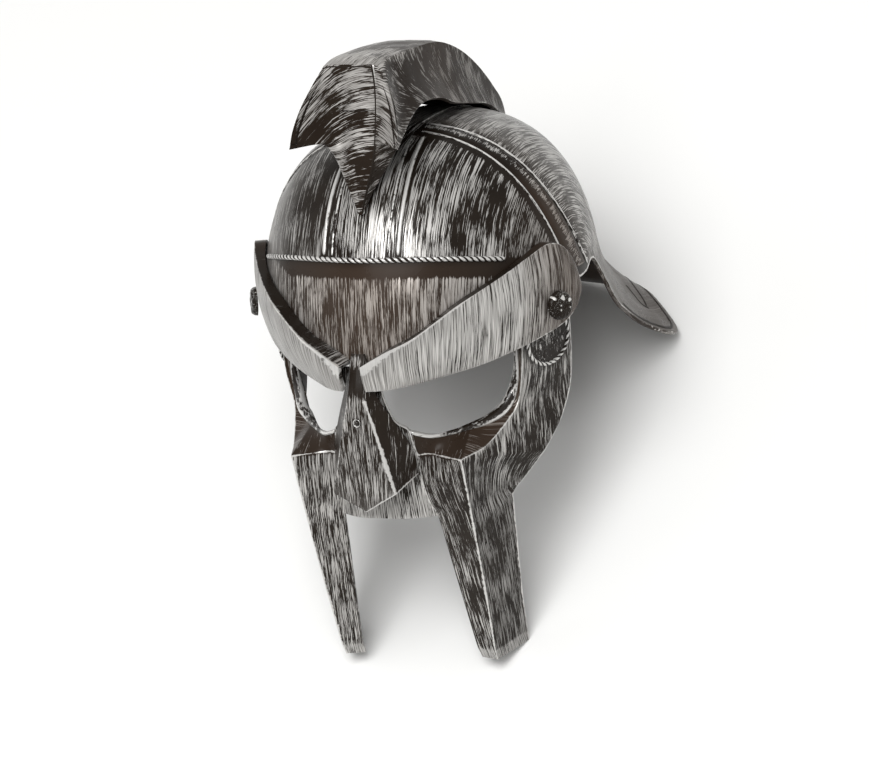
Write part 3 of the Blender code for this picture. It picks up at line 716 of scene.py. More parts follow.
# %% The skull's edge
SKULL_EDGE = np.array([
    # turn,  reach,     z,   drop
    (0.0,    0.998, 0.0280, 0.004),
    (10.0,   0.997, 0.0325, 0.004),
    (20.0,   0.994, 0.0390, 0.004),
    (32.0,   0.986, 0.0500, 0.004),
    (41.0,   0.980, 0.0560, 0.004),
    (50.5,   0.973, 0.0615, 0.004),
    (60.0,   0.967, 0.0658, 0.004),
    (68.0,   0.966, 0.0662, 0.004),
    (75.0,   0.970, 0.0630, 0.004),
    (80.5,   0.978, 0.0570, 0.004),
    (86.0,   0.984, 0.0530, 0.004),
    (92.0,   0.984, 0.0535, 0.004),
    (101.0,  0.982, 0.0570, 0.006),
    (107.5,  1.008, 0.0465, 0.016),
    (111.5,  1.062, 0.0325, 0.030),
    (118.0,  1.130, 0.0215, 0.044),
    (124.0,  1.235, 0.0115, 0.054),
    (135.0,  1.500, 0.0000, 0.064),
    (143.0,  1.440, 0.0155, 0.052),
    (152.0,  1.425, 0.0185, 0.046),
    (160.0,  1.378, 0.0195, 0.042),
    (180.0,  1.350, 0.0205, 0.036),
])
print("skull edge rows", SKULL_EDGE.shape, "reach at the back:", SKULL_EDGE[-1, 1])

# %% The skull's grid
SKULL_COLUMNS = 330
SKULL_DOME_ROWS = 96
SKULL_FLARE_ROWS = 30
SKULL_INNER_STEP = 4          # the inside takes every fourth row
RIM_STEPS = 6
FLARE_BEND_OUT = 0.19         # where the flare's curve bends, as a share of its way out
FLARE_BEND_UP = 0.45          # and of its way up


def skull_outside():
    """The outside as rows from crown to edge and columns round the head.

    The dome's rows step evenly in its slope angle down to where the flare leaves it, and the
    flare is a quadratic curve from there to the edge.
    """
    turn = np.linspace(0.0, 360.0, SKULL_COLUMNS + 1)
    half = np.minimum(turn, 360.0 - turn)
    keys = SKULL_EDGE[:, 0]
    keys = np.concatenate([-keys[2:0:-1], keys, 360.0 - keys[-2:-4:-1]])
    rows = np.concatenate([SKULL_EDGE[2:0:-1], SKULL_EDGE, SKULL_EDGE[-2:-4:-1]])[:, 1:]
    reach, edge_z, drop = curve_through(keys, rows, half).T
    leave_z = edge_z + drop
    rise = np.maximum(leave_z - DOME_BASE_Z, 0.0) / DOME_HEIGHT
    leave_angle = np.arcsin(rise ** (DOME_POWER / 2))
    share = np.linspace(0.0, 1.0, SKULL_DOME_ROWS + 1)[:, None]
    angle = math.pi / 2 + (leave_angle - math.pi / 2) * share
    dome_z = DOME_BASE_Z + DOME_HEIGHT * np.sin(angle) ** (2 / DOME_POWER)
    dome_plan = np.maximum(np.cos(angle), 0.0) ** (2 / DOME_POWER)
    leave_plan = dome_scale(leave_z)
    bend_plan = leave_plan + FLARE_BEND_OUT * (reach - leave_plan)
    bend_z = edge_z + FLARE_BEND_UP * drop
    t = np.linspace(0.0, 1.0, SKULL_FLARE_ROWS + 1)[1:, None]
    flare_plan = (1 - t) ** 2 * leave_plan + 2 * t * (1 - t) * bend_plan + t ** 2 * reach
    flare_z = (1 - t) ** 2 * leave_z + 2 * t * (1 - t) * bend_z + t ** 2 * edge_z
    plan = np.concatenate([dome_plan, flare_plan])
    z = np.concatenate([dome_z, flare_z])
    way = np.radians(turn)
    length = np.where(np.cos(way) > 0, DOME_FRONT, DOME_BACK)
    x = DOME_HALF_WIDTH * plan * np.sin(way)
    x[:, -1] = x[:, 0]
    return np.stack([x, DOME_AXIS_Y - length * plan * np.cos(way), z], axis=-1)


def grid_normals(points):
    """Outward unit vectors of a grid whose last column is its first."""
    wide = np.concatenate([points[:, -2:-1], points, points[:, 1:2]], axis=1)
    down = np.gradient(points, axis=0)
    right = np.gradient(wide, axis=1)[:, 1:-1]
    normals = unit(np.cross(down, right))
    normals[0] = (0.0, 0.0, 1.0)
    return normals


# %% Its rim and inside
outside = skull_outside()
normals = grid_normals(outside)
down = unit(outside[-1] - outside[-2])
rim_angle = np.linspace(0.0, math.pi, RIM_STEPS + 1)[1:-1, None, None]
rim_middle = outside[-1] - normals[-1] * WALL / 2
rim = rim_middle + WALL / 2 * (np.cos(rim_angle) * normals[-1] + np.sin(rim_angle) * down)
inner_rows = np.arange(len(outside) - 1, -1, -1)[::SKULL_INNER_STEP]
inner_rows = np.append(inner_rows[inner_rows > 0], 0)
inside = outside[inner_rows] - WALL * normals[inner_rows]
print("skull outside", outside.shape, "inside", inside.shape)

# %% [markdown]
# The paint on the dome changes from zone to zone, and the zones follow the lines on it. The brush
# also skipped the ground beside every line, which is the bare field.

# %% Zones on the skull
BARE_BELOW_ROPE = 9.2         # millimetres
BARE_ABOVE_ROPE = 1.2
BARE_BESIDE_RIB = 2.3
BARE_BEFORE_BAND = 5.2
BARE_BEHIND_BAND = 1.0


def dome_zones(points):
    """Where points lie against the dome's lines: distances in millimetres, and zones from 0 to 1."""
    x, y, z = np.moveaxis(points, -1, 0)
    angle = np.degrees(np.arctan2(z - DOME_BASE_Z, np.abs(x)))
    zone = {"angle": angle, "from_front": MM * (y - band_edge(angle, BAND_FRONT)),
            "from_rear": MM * (y - band_edge(angle, BAND_REAR)), "above_rope": MM * (z - rope_height(x))}
    zone["before"] = (zone["from_front"] < 0) & (y < DOME_AXIS_Y)
    zone["forehead"] = np.clip(-zone["above_rope"] / 4.0, 0, 1) * (y < 0.04)
    zone["rear"] = np.clip(zone["from_rear"] / 6.0, 0, 1)
    zone["low_back"] = np.clip((0.062 - z) / 0.02, 0, 1) * np.clip((y - 0.08) / 0.02, 0, 1)
    zone["far_right"] = np.clip((-x - 0.042) / 0.016, 0, 1) * (y < 0.06)
    return zone


def bare_ground(points, zone):
    """How far points are from the bare ground beside the ribs, the band and the cord."""
    x, y, _ = np.moveaxis(points, -1, 0)
    side, above_rope = np.abs(x), zone["above_rope"]
    ribs = np.abs(side - RIB_X) * MM
    ribs = np.minimum(ribs, np.abs(side - RIB_X + INNER_RIB_IN) * MM + 1.0)
    from_rib = np.where((above_rope > 0) & zone["before"], ribs - BARE_BESIDE_RIB, FAR)
    behind_band = zone["from_rear"] - BARE_BEHIND_BAND
    before_band = -zone["from_front"] - BARE_BEFORE_BAND
    from_band = np.where(y < 0.075, np.maximum(before_band, behind_band), behind_band)
    from_band = np.where((side > 0.010) & (zone["angle"] > BAND_END_ANGLE - 2), from_band, FAR)
    from_rope = np.maximum(above_rope - BARE_ABOVE_ROPE, -above_rope - BARE_BELOW_ROPE)
    past_rope = np.clip(-x - ROPE_HALF_SPAN + 0.004, 0, 1)
    from_rope = from_rope + 9 * zone["far_right"] * zone["forehead"] + 2 * MM * past_rope
    from_rope = np.where(y < 0.03, from_rope, FAR)
    return np.minimum(np.minimum(from_rib, from_band), from_rope)


forehead_share = dome_zones(outside)["forehead"].mean()
print("share of the skull's points on the forehead:", round(float(forehead_share), 3))

# %% [markdown]
# The bowl is dense and bright at the front above the cord, and densest where the overhead light's
# highlight falls, so that peak is painted highlight. It is thinner in a patch above each temple
# and in two streaks on the wearer's right, even and grey behind the band, and brown on the
# forehead and low at the back. Each number below is how much more or less paint a zone has.

# %% The skull's fields
FOREHEAD_COVERAGE = 0.44
THIN_PATCHES = [((0.055, 0.012, 0.098), 0.012, 0.11),     # centre, size, how much thinner
                ((0.043, -0.006, 0.090), 0.011, 0.05)]


def spot(points, centre, size):
    """A soft round spot: 1 at its centre, fading out over its size."""
    return np.exp(-np.sum((points - np.array(centre)) ** 2, axis=-1) / size ** 2)


def skull_fields(points):
    """Coverage, film, warmth, strength and bare ground over the outside of the skull."""
    x, y, z = np.moveaxis(points, -1, 0)
    side = np.abs(x)
    folded = np.stack([side, y, z], axis=-1)
    zone = dome_zones(points)
    before, forehead, rear = zone["before"], zone["forehead"], zone["rear"]
    low_back, far_right = zone["low_back"], zone["far_right"]
    climb = np.clip(zone["above_rope"], 0, FAR)
    # Painted highlight: the peak of this coverage lies where the overhead key's highlight falls above the
    # cord.
    coverage = 0.43 + 0.22 * np.exp(-climb / 16.0 - ((x - 0.016) / 0.026) ** 2) * before
    for centre, size, thinner in THIN_PATCHES:
        coverage -= thinner * spot(folded, centre, size)
    coverage -= 0.22 * np.exp(-((x + 0.0270) / 0.0045) ** 2) * np.clip(climb / 16.0, 0, 1)
    coverage -= 0.10 * np.exp(-((x + 0.0140) / 0.0030) ** 2)
    coverage = np.where(forehead > 0, FOREHEAD_COVERAGE + np.clip(3.4 * x, -0.01, 0.18), coverage)
    near_band = np.exp(-np.clip(zone["from_rear"], 0, FAR) / 9.0)
    coverage = coverage * (1 - rear) + (0.50 - 0.12 * near_band) * rear
    coverage = coverage * (1 - low_back) + 0.36 * low_back
    film = rear * (0.30 - 0.28 * near_band) * (1 - low_back) + 0.14 * low_back
    # Painted sheen: the haze on the far right of the bowl stands in for the light grey sheen along its
    # silhouette.
    film = film + 0.03 * forehead + 0.30 * far_right * (1 - rear)
    warm = 0.85 * forehead * np.exp(-((x - 0.004) / 0.050) ** 2) + 0.45 * near_band * rear
    warm = warm + 0.30 * np.clip((side - 0.055) / 0.02, 0, 1) * before * (1 - forehead) + 0.5 * low_back
    # Painted shade: the strokes get thinner towards the wearer's right, where the light falls off.
    to_right = np.clip((-x - 0.002) / 0.024, 0, 1)
    outer = np.clip((side - 0.055) / 0.015, 0, 1) * before * (x > 0)
    strength = 1.0 - 0.38 * to_right * (1 - forehead) - 0.15 * rear - 0.55 * low_back - 0.36 * outer
    return {"coverage": coverage, "film": film, "warm": warm, "strength": strength,
            "bare": bare_ground(points, zone)}


print("skull coverage from", *np.percentile(skull_fields(outside)["coverage"], (1, 99)).round(2))

# %% The skull
across, along = fore_and_aft(outside)
from_edge = MM * (run(outside, 0)[-1] - run(outside, 0))
behind = np.clip((outside[..., 1] - 0.115) / 0.01, 0, 1)
outer_sheet = make_sheet(outside, across, along, edge=from_edge + 0.5 + 0.7 * behind,
                         **skull_fields(outside))
closing = np.concatenate([outside[-1:], rim, inside])
across, along = fore_and_aft(closing)
rim_rows = np.arange(len(closing))[:, None]
on_rim = rim_rows <= RIM_STEPS - 2
rim_sheet = make_sheet(closing, across, along, coverage=np.where(on_rim, 0.42, -1.0), strength=0.6,
                       warm=0.5, edge=np.where(on_rim, 1.3, FAR))
add_piece("skull_shell", [outer_sheet, rim_sheet], [DOME_FINISH], node="skull",
          crease=60.0)

# %% [markdown]
# ## Beads: ribs, lips and lines
# A rib is a flattened round bead that is carried along a path and sunk into the surface. Each
# ring of points is the path's point, plus the width times the cosine of an angle sideways, plus
# the height times its sine outwards. The ends shrink to a point, which closes the bead.

# %% Beads
BEAD_SIDES = 10
BEAD_TAPER = 0.0030


def bead_sheet(path, outward, width, height, taper=BEAD_TAPER, edge=0.0, **fields):
    """A bead on a path: rows along it, columns round it."""
    ahead = unit(np.gradient(path, axis=0))
    sideways = unit(np.cross(outward, ahead))
    outward = np.cross(ahead, sideways)
    travelled = run(path[:, None], 0)
    to_end = np.minimum(travelled, travelled[-1] - travelled) / taper
    swell = np.sqrt(np.clip(1 - (1 - np.clip(to_end, 0, 1)) ** 2, 0, 1))
    angle = np.linspace(0.0, 2 * math.pi, BEAD_SIDES + 1)
    angle[-1] = 0.0
    spread = (np.asarray(width) / 2 * swell)[..., None] * np.cos(angle)[:, None] * sideways[:, None]
    lift = (np.asarray(height) * swell)[..., None] * np.sin(angle)[:, None] * outward[:, None]
    points = path[:, None] + spread + lift
    crown = MM * np.asarray(width) / 2 * (1 - np.sin(angle))
    return make_sheet(points, width * angle / math.pi, travelled, edge=crown + edge, **fields)


def both_sides(sheets):
    """The sheets with their mirrored copies."""
    return [*sheets, *(mirrored(sheet) for sheet in sheets)]


print("a bead has", BEAD_SIDES, "sides and tapers over", MM * BEAD_TAPER, "mm")

# %% The ribs
RIB_Z = np.linspace(0.0800, 0.1292, 70)
CROWN_RIB_X = 0.0090          # how far out the rib beside the crest stands
CROWN_RADIUS = 0.109          # the crown's, which turns that into an angle
CROWN_RIB_Y = np.linspace(0.0415, 0.135, 60)


def front_rib_path(inset):
    """A line up the dome's front in an upright plane that leans in near its top."""
    lean_in = RIB_LEAN * np.linspace(0, 1, len(RIB_Z)) ** 4
    return dome_front_line(RIB_X - inset - lean_in, RIB_Z)


def band_path(edge):
    """One of the band's edges, from the crest down to above the ear."""
    angle = np.linspace(BAND_TOP_ANGLE, BAND_END_ANGLE, 110)
    return dome_ring(angle, band_edge(angle, edge))


crown_angle = np.full(len(CROWN_RIB_Y), 90 - np.degrees(CROWN_RIB_X / CROWN_RADIUS))
crown_line = dome_ring(crown_angle, CROWN_RIB_Y)
ribs = [
    # path,                       width,  height, coverage, edge
    (front_rib_path(0.0),          0.0020, 0.0008, 0.62, 0.15),
    (front_rib_path(INNER_RIB_IN), 0.0012, 0.0005, 0.35, 0.45),
    (band_path(BAND_FRONT),        0.0013, 0.0006, 0.42, 0.28),
    (band_path(BAND_REAR),         0.0013, 0.0006, 0.42, 0.24),
    (crown_line,                   0.0012, 0.0005, 0.35, 0.20),
]
rib_sheets = [bead_sheet(path, dome_normal(path), width, height, coverage=coverage, edge=edge)
              for path, width, height, coverage, edge in ribs]
add_piece("skull_ribs", both_sides(rib_sheets), [TRIM_FINISH])

# %% [markdown]
# The neck guard has an incised outline a few millimetres inside its edge, and an incised leaf on
# each side. They are drawn as shallow dark lines on its surface, through points given by the
# turn round the head and the way up from the edge.

# %% The neck guard's lines
OUTLINE_IN = 3.8              # millimetres inside the edge
OUTLINE_FROM = 117.0          # degrees round the head from the front
OUTLINE_POINTS = 160
LEAF_POINTS = 25
GUARD_LINE_WIDTH = 0.0018
GUARD_LINE_HEIGHT = 0.00025
LINE_TAPER = 0.0015
LEAF_LINES = [[(157.0, 7.0), (146.0, 15.3), (135.0, 22.7)],
              [(137.5, 35.7), (133.8, 27.5), (135.3, 20.4)]]


def between(grid, row, column):
    """A grid's values at places between its rows and columns, mixed from the four around them."""
    r, c = np.floor(row).astype(int), np.floor(column).astype(int)
    r, c = np.minimum(r, grid.shape[0] - 2), np.minimum(c, grid.shape[1] - 2)
    p, q = (row - r)[:, None], (column - c)[:, None]
    return ((grid[r, c] * (1 - q) + grid[r, c + 1] * q) * (1 - p)
            + (grid[r + 1, c] * (1 - q) + grid[r + 1, c + 1] * q) * p)


def guard_line(turn, way_in):
    """A shallow dark line on the skull's outside, at turns and ways in from its edge."""
    column = np.asarray(turn) * SKULL_COLUMNS / 360.0
    nearest = np.round(column).astype(int)
    row = np.array([np.interp(-way, -from_edge[:, k], np.arange(len(from_edge)))
                    for way, k in zip(way_in, nearest)])
    return bead_sheet(between(outside, row, column), unit(between(normals, row, column)),
                      GUARD_LINE_WIDTH, GUARD_LINE_HEIGHT, taper=LINE_TAPER)


outline_turn = np.linspace(OUTLINE_FROM, 360.0 - OUTLINE_FROM, OUTLINE_POINTS)
guard_lines = [guard_line(outline_turn, np.full(OUTLINE_POINTS, OUTLINE_IN))]
for leaf in LEAF_LINES:
    leaf_line = guard_line(*smooth(leaf, np.linspace(0, len(leaf) - 1, LEAF_POINTS)).T)
    guard_lines += [leaf_line, mirrored(leaf_line)]
add_piece("neck_guard_lines", guard_lines, [LINE_FINISH])

# %% [markdown]
# The band between its two ribs is a strip that stands a little proud of the dome. Its middle
# caught the paint, and lower down it is brown with strokes that cross it.

# %% The band
BAND_RISE = 0.0005
BAND_INSET = 0.10             # the share of its width that its ribs take at each edge
band_angle = np.linspace(BAND_TOP_ANGLE, BAND_END_ANGLE + 1.0, 120)[:, None]
band_share = np.linspace(BAND_INSET, 1 - BAND_INSET, 12)[None, :]
front_y, rear_y = band_edge(band_angle, BAND_FRONT), band_edge(band_angle, BAND_REAR)
band_points = dome_ring(band_angle, front_y + (rear_y - front_y) * band_share)
from_rib = np.minimum(band_share - BAND_INSET, 1 - BAND_INSET - band_share)
band_lift = BAND_RISE * np.clip(10 * from_rib, 0, 1)
band_points = band_points + dome_normal(band_points) * band_lift[..., None]
band_down = run(band_points, 0)
lower = np.clip((58.0 - band_angle) / 14.0, 0, 1)
middle = np.exp(-((band_share - 0.56) / (0.25 + 0.06 * lower)) ** 2)
band_sheet = make_sheet(band_points, band_down, run(band_points, 1), coverage=-0.14 + 0.66 * middle,
                        warm=0.8 * lower, strength=0.95 - 0.30 * lower)
add_piece("skull_band", both_sides([band_sheet]), [TRIM_FINISH])

# %% [markdown]
# ## The cord moulding
# A two-strand cord runs across the forehead. It could be two helices twisted together, but only
# its outline shows, so it is one tube whose section is a circle with two lobes. The lobes turn as
# they go along, half a turn in each pitch, so that a strand passes by every pitch.

# %% The cord moulding
CORD_PITCH = 0.0032
CORD_SIDES = 24
CORD_STEP = 0.0003
CORD_CORE = 0.62              # the share of its radius between the strands
ROPE_LIFT = 0.55              # how far its middle stands off the dome, in radii


def cord_sheet(path, outward, radius, pitch=CORD_PITCH, **fields):
    """A twisted cord on a path: radius times (core + (1 - core) |cos(turn)|), the turn growing."""
    ahead = unit(np.gradient(path, axis=0))
    sideways = unit(np.cross(outward, ahead))
    outward = np.cross(ahead, sideways)
    travelled = run(path[:, None], 0)
    angle = np.linspace(0.0, 2 * math.pi, CORD_SIDES + 1)
    angle[-1] = 0.0
    lobe = np.abs(np.cos(angle - math.pi * travelled / pitch))
    to_end = np.clip(np.minimum(travelled, travelled[-1] - travelled) / radius, 0, 1)
    out = radius * (CORD_CORE + (1 - CORD_CORE) * lobe) * np.sqrt(np.clip(1 - (1 - to_end) ** 2, 0, 1))
    points = path[:, None] + out[..., None] * (np.cos(angle)[:, None] * sideways[:, None]
                                               + np.sin(angle)[:, None] * outward[:, None])
    return make_sheet(points, radius * angle, travelled, edge=1.45 * (1.0 - lobe), **fields)


rope_x = np.arange(-ROPE_HALF_SPAN, ROPE_HALF_SPAN, CORD_STEP)
rope_path = dome_front_line(rope_x, rope_height(rope_x))
rope_out = dome_normal(rope_path)
rope = cord_sheet(rope_path + rope_out * (ROPE_RADIUS * ROPE_LIFT), rope_out, ROPE_RADIUS, coverage=0.1)
add_piece("rope_cord", [rope], [TRIM_FINISH], node="rope_moulding", crease=80.0)

# %% [markdown]
# ## The crest
# The crest is a hollow ridge. Its front is a sheet with a middle panel and two cheeks that flare
# forwards to pointed corners, and a sweep of arches runs from it to the back. Both are grids
# through tables, and they share the points along the corner where they meet.

# %% The crest's tables
CREST_SECTIONS = [
    # y,      top_z,  top_half, edge_x, edge_z
    (-0.0080, 0.1750, 0.0146, 0.0250, 0.1450),
    (0.0120,  0.1748, 0.0148, 0.0238, 0.1488),
    (0.0370,  0.1736, 0.0148, 0.0222, 0.1462),
    (0.0600,  0.1709, 0.0147, 0.0205, 0.1395),
    (0.0850,  0.1624, 0.0146, 0.0190, 0.1346),
    (0.1070,  0.1506, 0.0144, 0.0178, 0.1302),
    (0.1260,  0.1370, 0.0140, 0.0166, 0.1222),
    (0.1400,  0.1247, 0.0132, 0.0152, 0.1115),
    (0.1510,  0.1040, 0.0112, 0.0126, 0.0985),
]
CREST_FRONT = [
    # mid_y,   mid_z,   fold_x, fold_y, fold_z,  edge_x, edge_y, edge_z
    (-0.0205, 0.1732,  0.0110, -0.0200, 0.1731,  0.0144, -0.0197, 0.1722),
    (-0.0208, 0.1640,  0.0118, -0.0198, 0.1640,  0.0196, -0.0235, 0.1632),
    (-0.0212, 0.1540,  0.0118, -0.0200, 0.1540,  0.0243, -0.0285, 0.1532),
    (-0.0217, 0.1440,  0.0112, -0.0206, 0.1440,  0.0272, -0.0335, 0.1430),
    (-0.0222, 0.1360,  0.0106, -0.0214, 0.1360,  0.0284, -0.0362, 0.1344),
    (-0.0225, 0.1310,  0.0100, -0.0218, 0.1310,  0.0224, -0.0210, 0.1372),
    (-0.0228, 0.1220,  0.0080, -0.0222, 0.1220,  0.0165, -0.0095, 0.1300),
    (-0.0228, 0.1140,  0.0055, -0.0224, 0.1140,  0.0105, -0.0118, 0.1192),
    (-0.0224, 0.1060,  0.0028, -0.0221, 0.1060,  0.0046, -0.0166, 0.1085),
    (-0.0216, 0.0992,  0.0009, -0.0215, 0.0995,  0.0017, -0.0208, 0.1000),
]
print("crest length in mm:", round(MM * (CREST_SECTIONS[-1][0] - CREST_FRONT[0][1]), 1))

# %% The crest's grids
CREST_WING_ROWS = 5           # the front's rows whose edge is also the sides' first edge
CREST_SIDE = np.array([(0.06, 0.16), (0.20, 0.38), (0.48, 0.68), (1.00, 1.00)])   # out, down
CREST_FLAT_SHARE = 0.65
CREST_FLAT_FALL = 0.0002
CREST_SHOULDER_FALL = 0.0010
CREST_SPACING = 0.0013
ARCH_SPACING = 0.0018
CREST_TOP_STEPS = (9, 9)      # from the middle to the fold, and from there to the edge


def crest_front_rows():
    """The front's table as points: the middle, the fold and the outer edge of each row."""
    table = np.array(CREST_FRONT)
    middle = np.column_stack([np.zeros(len(table)), table[:, :2]])
    return np.stack([middle, table[:, 2:5], table[:, 5:8]], axis=1)


def crest_arches():
    """The arches' table as points, seven to an arch, the first being the front's own edge."""
    front = crest_front_rows()
    arches = [np.concatenate([front[0, :2], front[:CREST_WING_ROWS, 2]])]
    for y, top_z, top_half, edge_x, edge_z in CREST_SECTIONS:
        x = top_half + CREST_SIDE[:, 0] * (edge_x - top_half)
        z = top_z + CREST_SIDE[:, 1] * (edge_z - top_z)
        x = np.concatenate([[0.0, CREST_FLAT_SHARE * top_half, top_half], x])
        z = np.concatenate([[top_z, top_z - CREST_FLAT_FALL, top_z - CREST_SHOULDER_FALL], z])
        arches.append(np.column_stack([x, np.full(len(x), y), z]))
    return np.array(arches)


wing = CREST_WING_ROWS - 1
front_rows = crest_front_rows()
wing_places = row_places(front_rows[:wing + 1], CREST_SPACING)
prow_places = row_places(front_rows[wing:], CREST_SPACING)
front_fine = np.concatenate([smooth(front_rows[:wing + 1], wing_places),
                             smooth(front_rows[wing:], prow_places)[1:]])
crest_front = straight_across(front_fine, CREST_TOP_STEPS)
arch_rows = crest_arches()
arch_fine = smooth(arch_rows, row_places(arch_rows, ARCH_SPACING))
arch_top = straight_across(arch_fine[:, :3], CREST_TOP_STEPS).swapaxes(0, 1)
arch_side = smooth(arch_fine[:, 2:].swapaxes(0, 1), wing_places)
crest_side = np.concatenate([arch_top, arch_side[1:]])
print("crest front", crest_front.shape, "crest sides", crest_side.shape)

# %% [markdown]
# On the crest's front the brush went outwards from the middle and dropped a little on the way.
# The wearer's left half has a crisp fold with a worn line along its cheek, where the strokes are
# measured from. That line and the cheek's extra paint are worn paint and painted highlight both, for
# the light where the cheek turns beside the fold. The right half's fold is soft, so that half is a
# smooth curve through the same three columns, and its outer rim stayed bare; down the prow the bare
# rim is wider, which is painted shadow of the gap under its edge.

# %% The crest's front
FOLD_COLUMN = CREST_TOP_STEPS[0]
STROKE_BEND = 14.0            # a metre: strokes drop by this times the square of the way out
RIM_BARE = 0.2                # millimetres, along the right cheek's outer rim
RIM_BARE_CORNER = 3.2         # and more than that round its corner
# Painted shadow: the wider bare rim down the prow stands in for the shadow of the gap under the crest's edge.
PROW_PAINTED_SHADOW = 0.8           # and down the prow
front_out = run(crest_front, 1)
front_down = run(crest_front, 0)[:, FOLD_COLUMN:FOLD_COLUMN + 1] + 0 * front_out
fold_way = front_out[:, FOLD_COLUMN:FOLD_COLUMN + 1]
from_fold = fold_way - front_out
is_cheek = np.arange(crest_front.shape[1])[None, :] > FOLD_COLUMN
edge_z = crest_front[:, -1:, 2]
prow = np.clip((0.137 - edge_z) / 0.004, 0, 1)
dropped = front_down - STROKE_BEND * from_fold ** 2
# Painted highlight over real paint: the cheek's extra coverage and film, and the rubbed line beside the fold,
# stand in for the light where the cheek turns.
left_front = make_sheet(crest_front, dropped, from_fold,
                        coverage=np.where(is_cheek, 0.49, 0.44) - 0.08 * prow,
                        film=np.where(is_cheek, 0.03, 0.0), strength=0.85, warm=0.15,
                        edge=np.where(is_cheek, MM * -from_fold - 0.1, FAR))
soft_places = np.linspace(0.0, 2.0, sum(CREST_TOP_STEPS) + 1)
soft_front = smooth(front_fine.swapaxes(0, 1), soft_places).swapaxes(0, 1)
soften = np.clip(np.arange(len(crest_front)) / 5.0, 0, 1)[:, None, None]
soft_front = crest_front * (1 - soften) + soft_front * soften
corner_near = np.exp(-((edge_z - 0.1375) / 0.010) ** 2)
# The bare rim is real plastic, and down the prow it is also painted shadow.
rim_bare_and_shadow = RIM_BARE_CORNER * corner_near + RIM_BARE + PROW_PAINTED_SHADOW * prow
right_front = mirrored(make_sheet(soft_front, front_down, front_out, coverage=0.44, strength=0.85, warm=0.15,
                                  bare=MM * (front_out[:, -1:] - front_out) - rim_bare_and_shadow))
across_fold = fold_way + front_out
right_brush = np.stack([front_down - STROKE_BEND * across_fold ** 2, across_fold], axis=-1)
right_front["brush"] = MM * right_brush[:, ::-1]
print("crest front sheets", left_front["brush"].shape, right_front["brush"].shape)

# %% [markdown]
# On the sides the strokes leave the front level and bend down towards the rear, and on the flat
# top they run straight back. One brush map can't do both without a herringbone where they meet,
# so the top and each side are sheets of their own. They share the points along the top's edge.

# %% The crest's top and sides
SIDE_BEND = 16.0              # a metre, as on the front, from the sides' front edge
SIDE_BEND_EASES = 0.06        # this far back the bend starts to straighten out
TOP_FADES_OVER = 0.004
top_rows = len(arch_top) - 1
side_down = run(crest_side, 0)
side_back = run(crest_side, 1)[top_rows + 1:top_rows + 2] + 0 * side_down
from_low = side_down[-1:] - side_down
on_top = np.clip(1 - (side_down - side_down[top_rows:top_rows + 1]) / TOP_FADES_OVER, 0, 1)
# Painted highlight: the side's strip just behind the cheek gets more and thicker paint, for the light on its
# soft rounded front.
front_highlight_zone = np.exp(-(side_back / 0.006) ** 2)
behind_it = np.exp(-((side_back - 0.072) / 0.024) ** 2)
rearmost = np.clip((side_back - 0.095) / 0.02, 0, 1)
front_top = on_top * np.clip(1 - (side_back - 0.020) / 0.03, 0, 1)
side_cover = 0.31 + 0.24 * front_highlight_zone + 0.26 * front_top + 0.08 * rearmost + 0.08 * np.exp(-from_low / 0.004)
side_fields = {"coverage": side_cover, "warm": 0.20 + 0.35 * behind_it, "edge": MM * from_low + 1.1,
               "strength": np.clip(0.46 + 0.40 * front_highlight_zone + 0.5 * front_top, 0, 1),
               "film": 0.02 * front_highlight_zone + 0.22 * front_top + 0.01 * behind_it}
seam_across, seam_along = dropped[:len(wing_places), -1:], from_fold[:len(wing_places), -1:]
top_across = seam_across[0] + side_down[:top_rows, :1] - side_down[top_rows, 0]
side_straight = side_down - side_down[:, :1] + np.concatenate([top_across, seam_across])
side_across = side_straight - SIDE_BEND * side_back ** 2 / (1 + side_back / SIDE_BEND_EASES)
side_along = np.concatenate([np.repeat(seam_along[:1], top_rows, axis=0), seam_along]) - side_back


def part_of_side(rows, across):
    """Some rows of the crest's side as a sheet with its own brush map."""
    return make_sheet(crest_side[rows], across[rows], side_along[rows],
                      **{name: value[rows] for name, value in side_fields.items()})


top_left = part_of_side(slice(0, top_rows + 1), side_straight)
side_left = part_of_side(slice(top_rows, None), side_across)
crest_sheets = [left_front, right_front, top_left, mirrored(top_left), side_left, mirrored(side_left)]
add_piece("crest_ridge", crest_sheets, [CREST_FINISH, INSIDE, TRIM_FINISH],
          node="crest", wall=WALL, rounding=0.0008, crease=80.0)

# %% [markdown]
# Thin dark lines mark the top of the crest's front panel, its fold and a seam across it. They
# are shallow beads of bare plastic.

# %% The crest's lines
SEAM_Z = 0.1505
SEAM_COLUMNS_RIGHT = 6        # how far the seam runs onto the wearer's right half


def line_sheet(path, outward, width=0.0007, height=0.00022):
    """A thin dark line on a surface that faces one way."""
    return bead_sheet(path, np.broadcast_to(outward, path.shape), width, height, taper=LINE_TAPER)


def across_front(row, right_columns):
    """A row of the crest's front from a column on the right half to the fold on the left."""
    right = crest_front[row, right_columns::-1] * (-1, 1, 1)
    return np.concatenate([right[:-1], crest_front[row, :FOLD_COLUMN + 1]])


seam_row = int(np.argmin(np.abs(crest_front[:, 0, 2] - SEAM_Z)))
fold_line = line_sheet(crest_front[:, FOLD_COLUMN], unit(np.array([0.25, -1.0, 0.0])), 0.0010, 0.0003)
top_line = line_sheet(across_front(1, crest_front.shape[1] - 1), np.array([0.0, -1.0, 0.1]))
seam_line = line_sheet(across_front(seam_row, SEAM_COLUMNS_RIGHT), np.array([0.0, -1.0, 0.0]), 0.0005)
add_piece("crest_lines", [fold_line, top_line, seam_line], [LINE_FINISH])

# %% [markdown]
# ## The brow plates
# Each plate sweeps from the nose to the temple. Its section is a cambered face and a ledge that
# leads back to the forehead. The strokes cross the plate from its lower edge to the ledge.

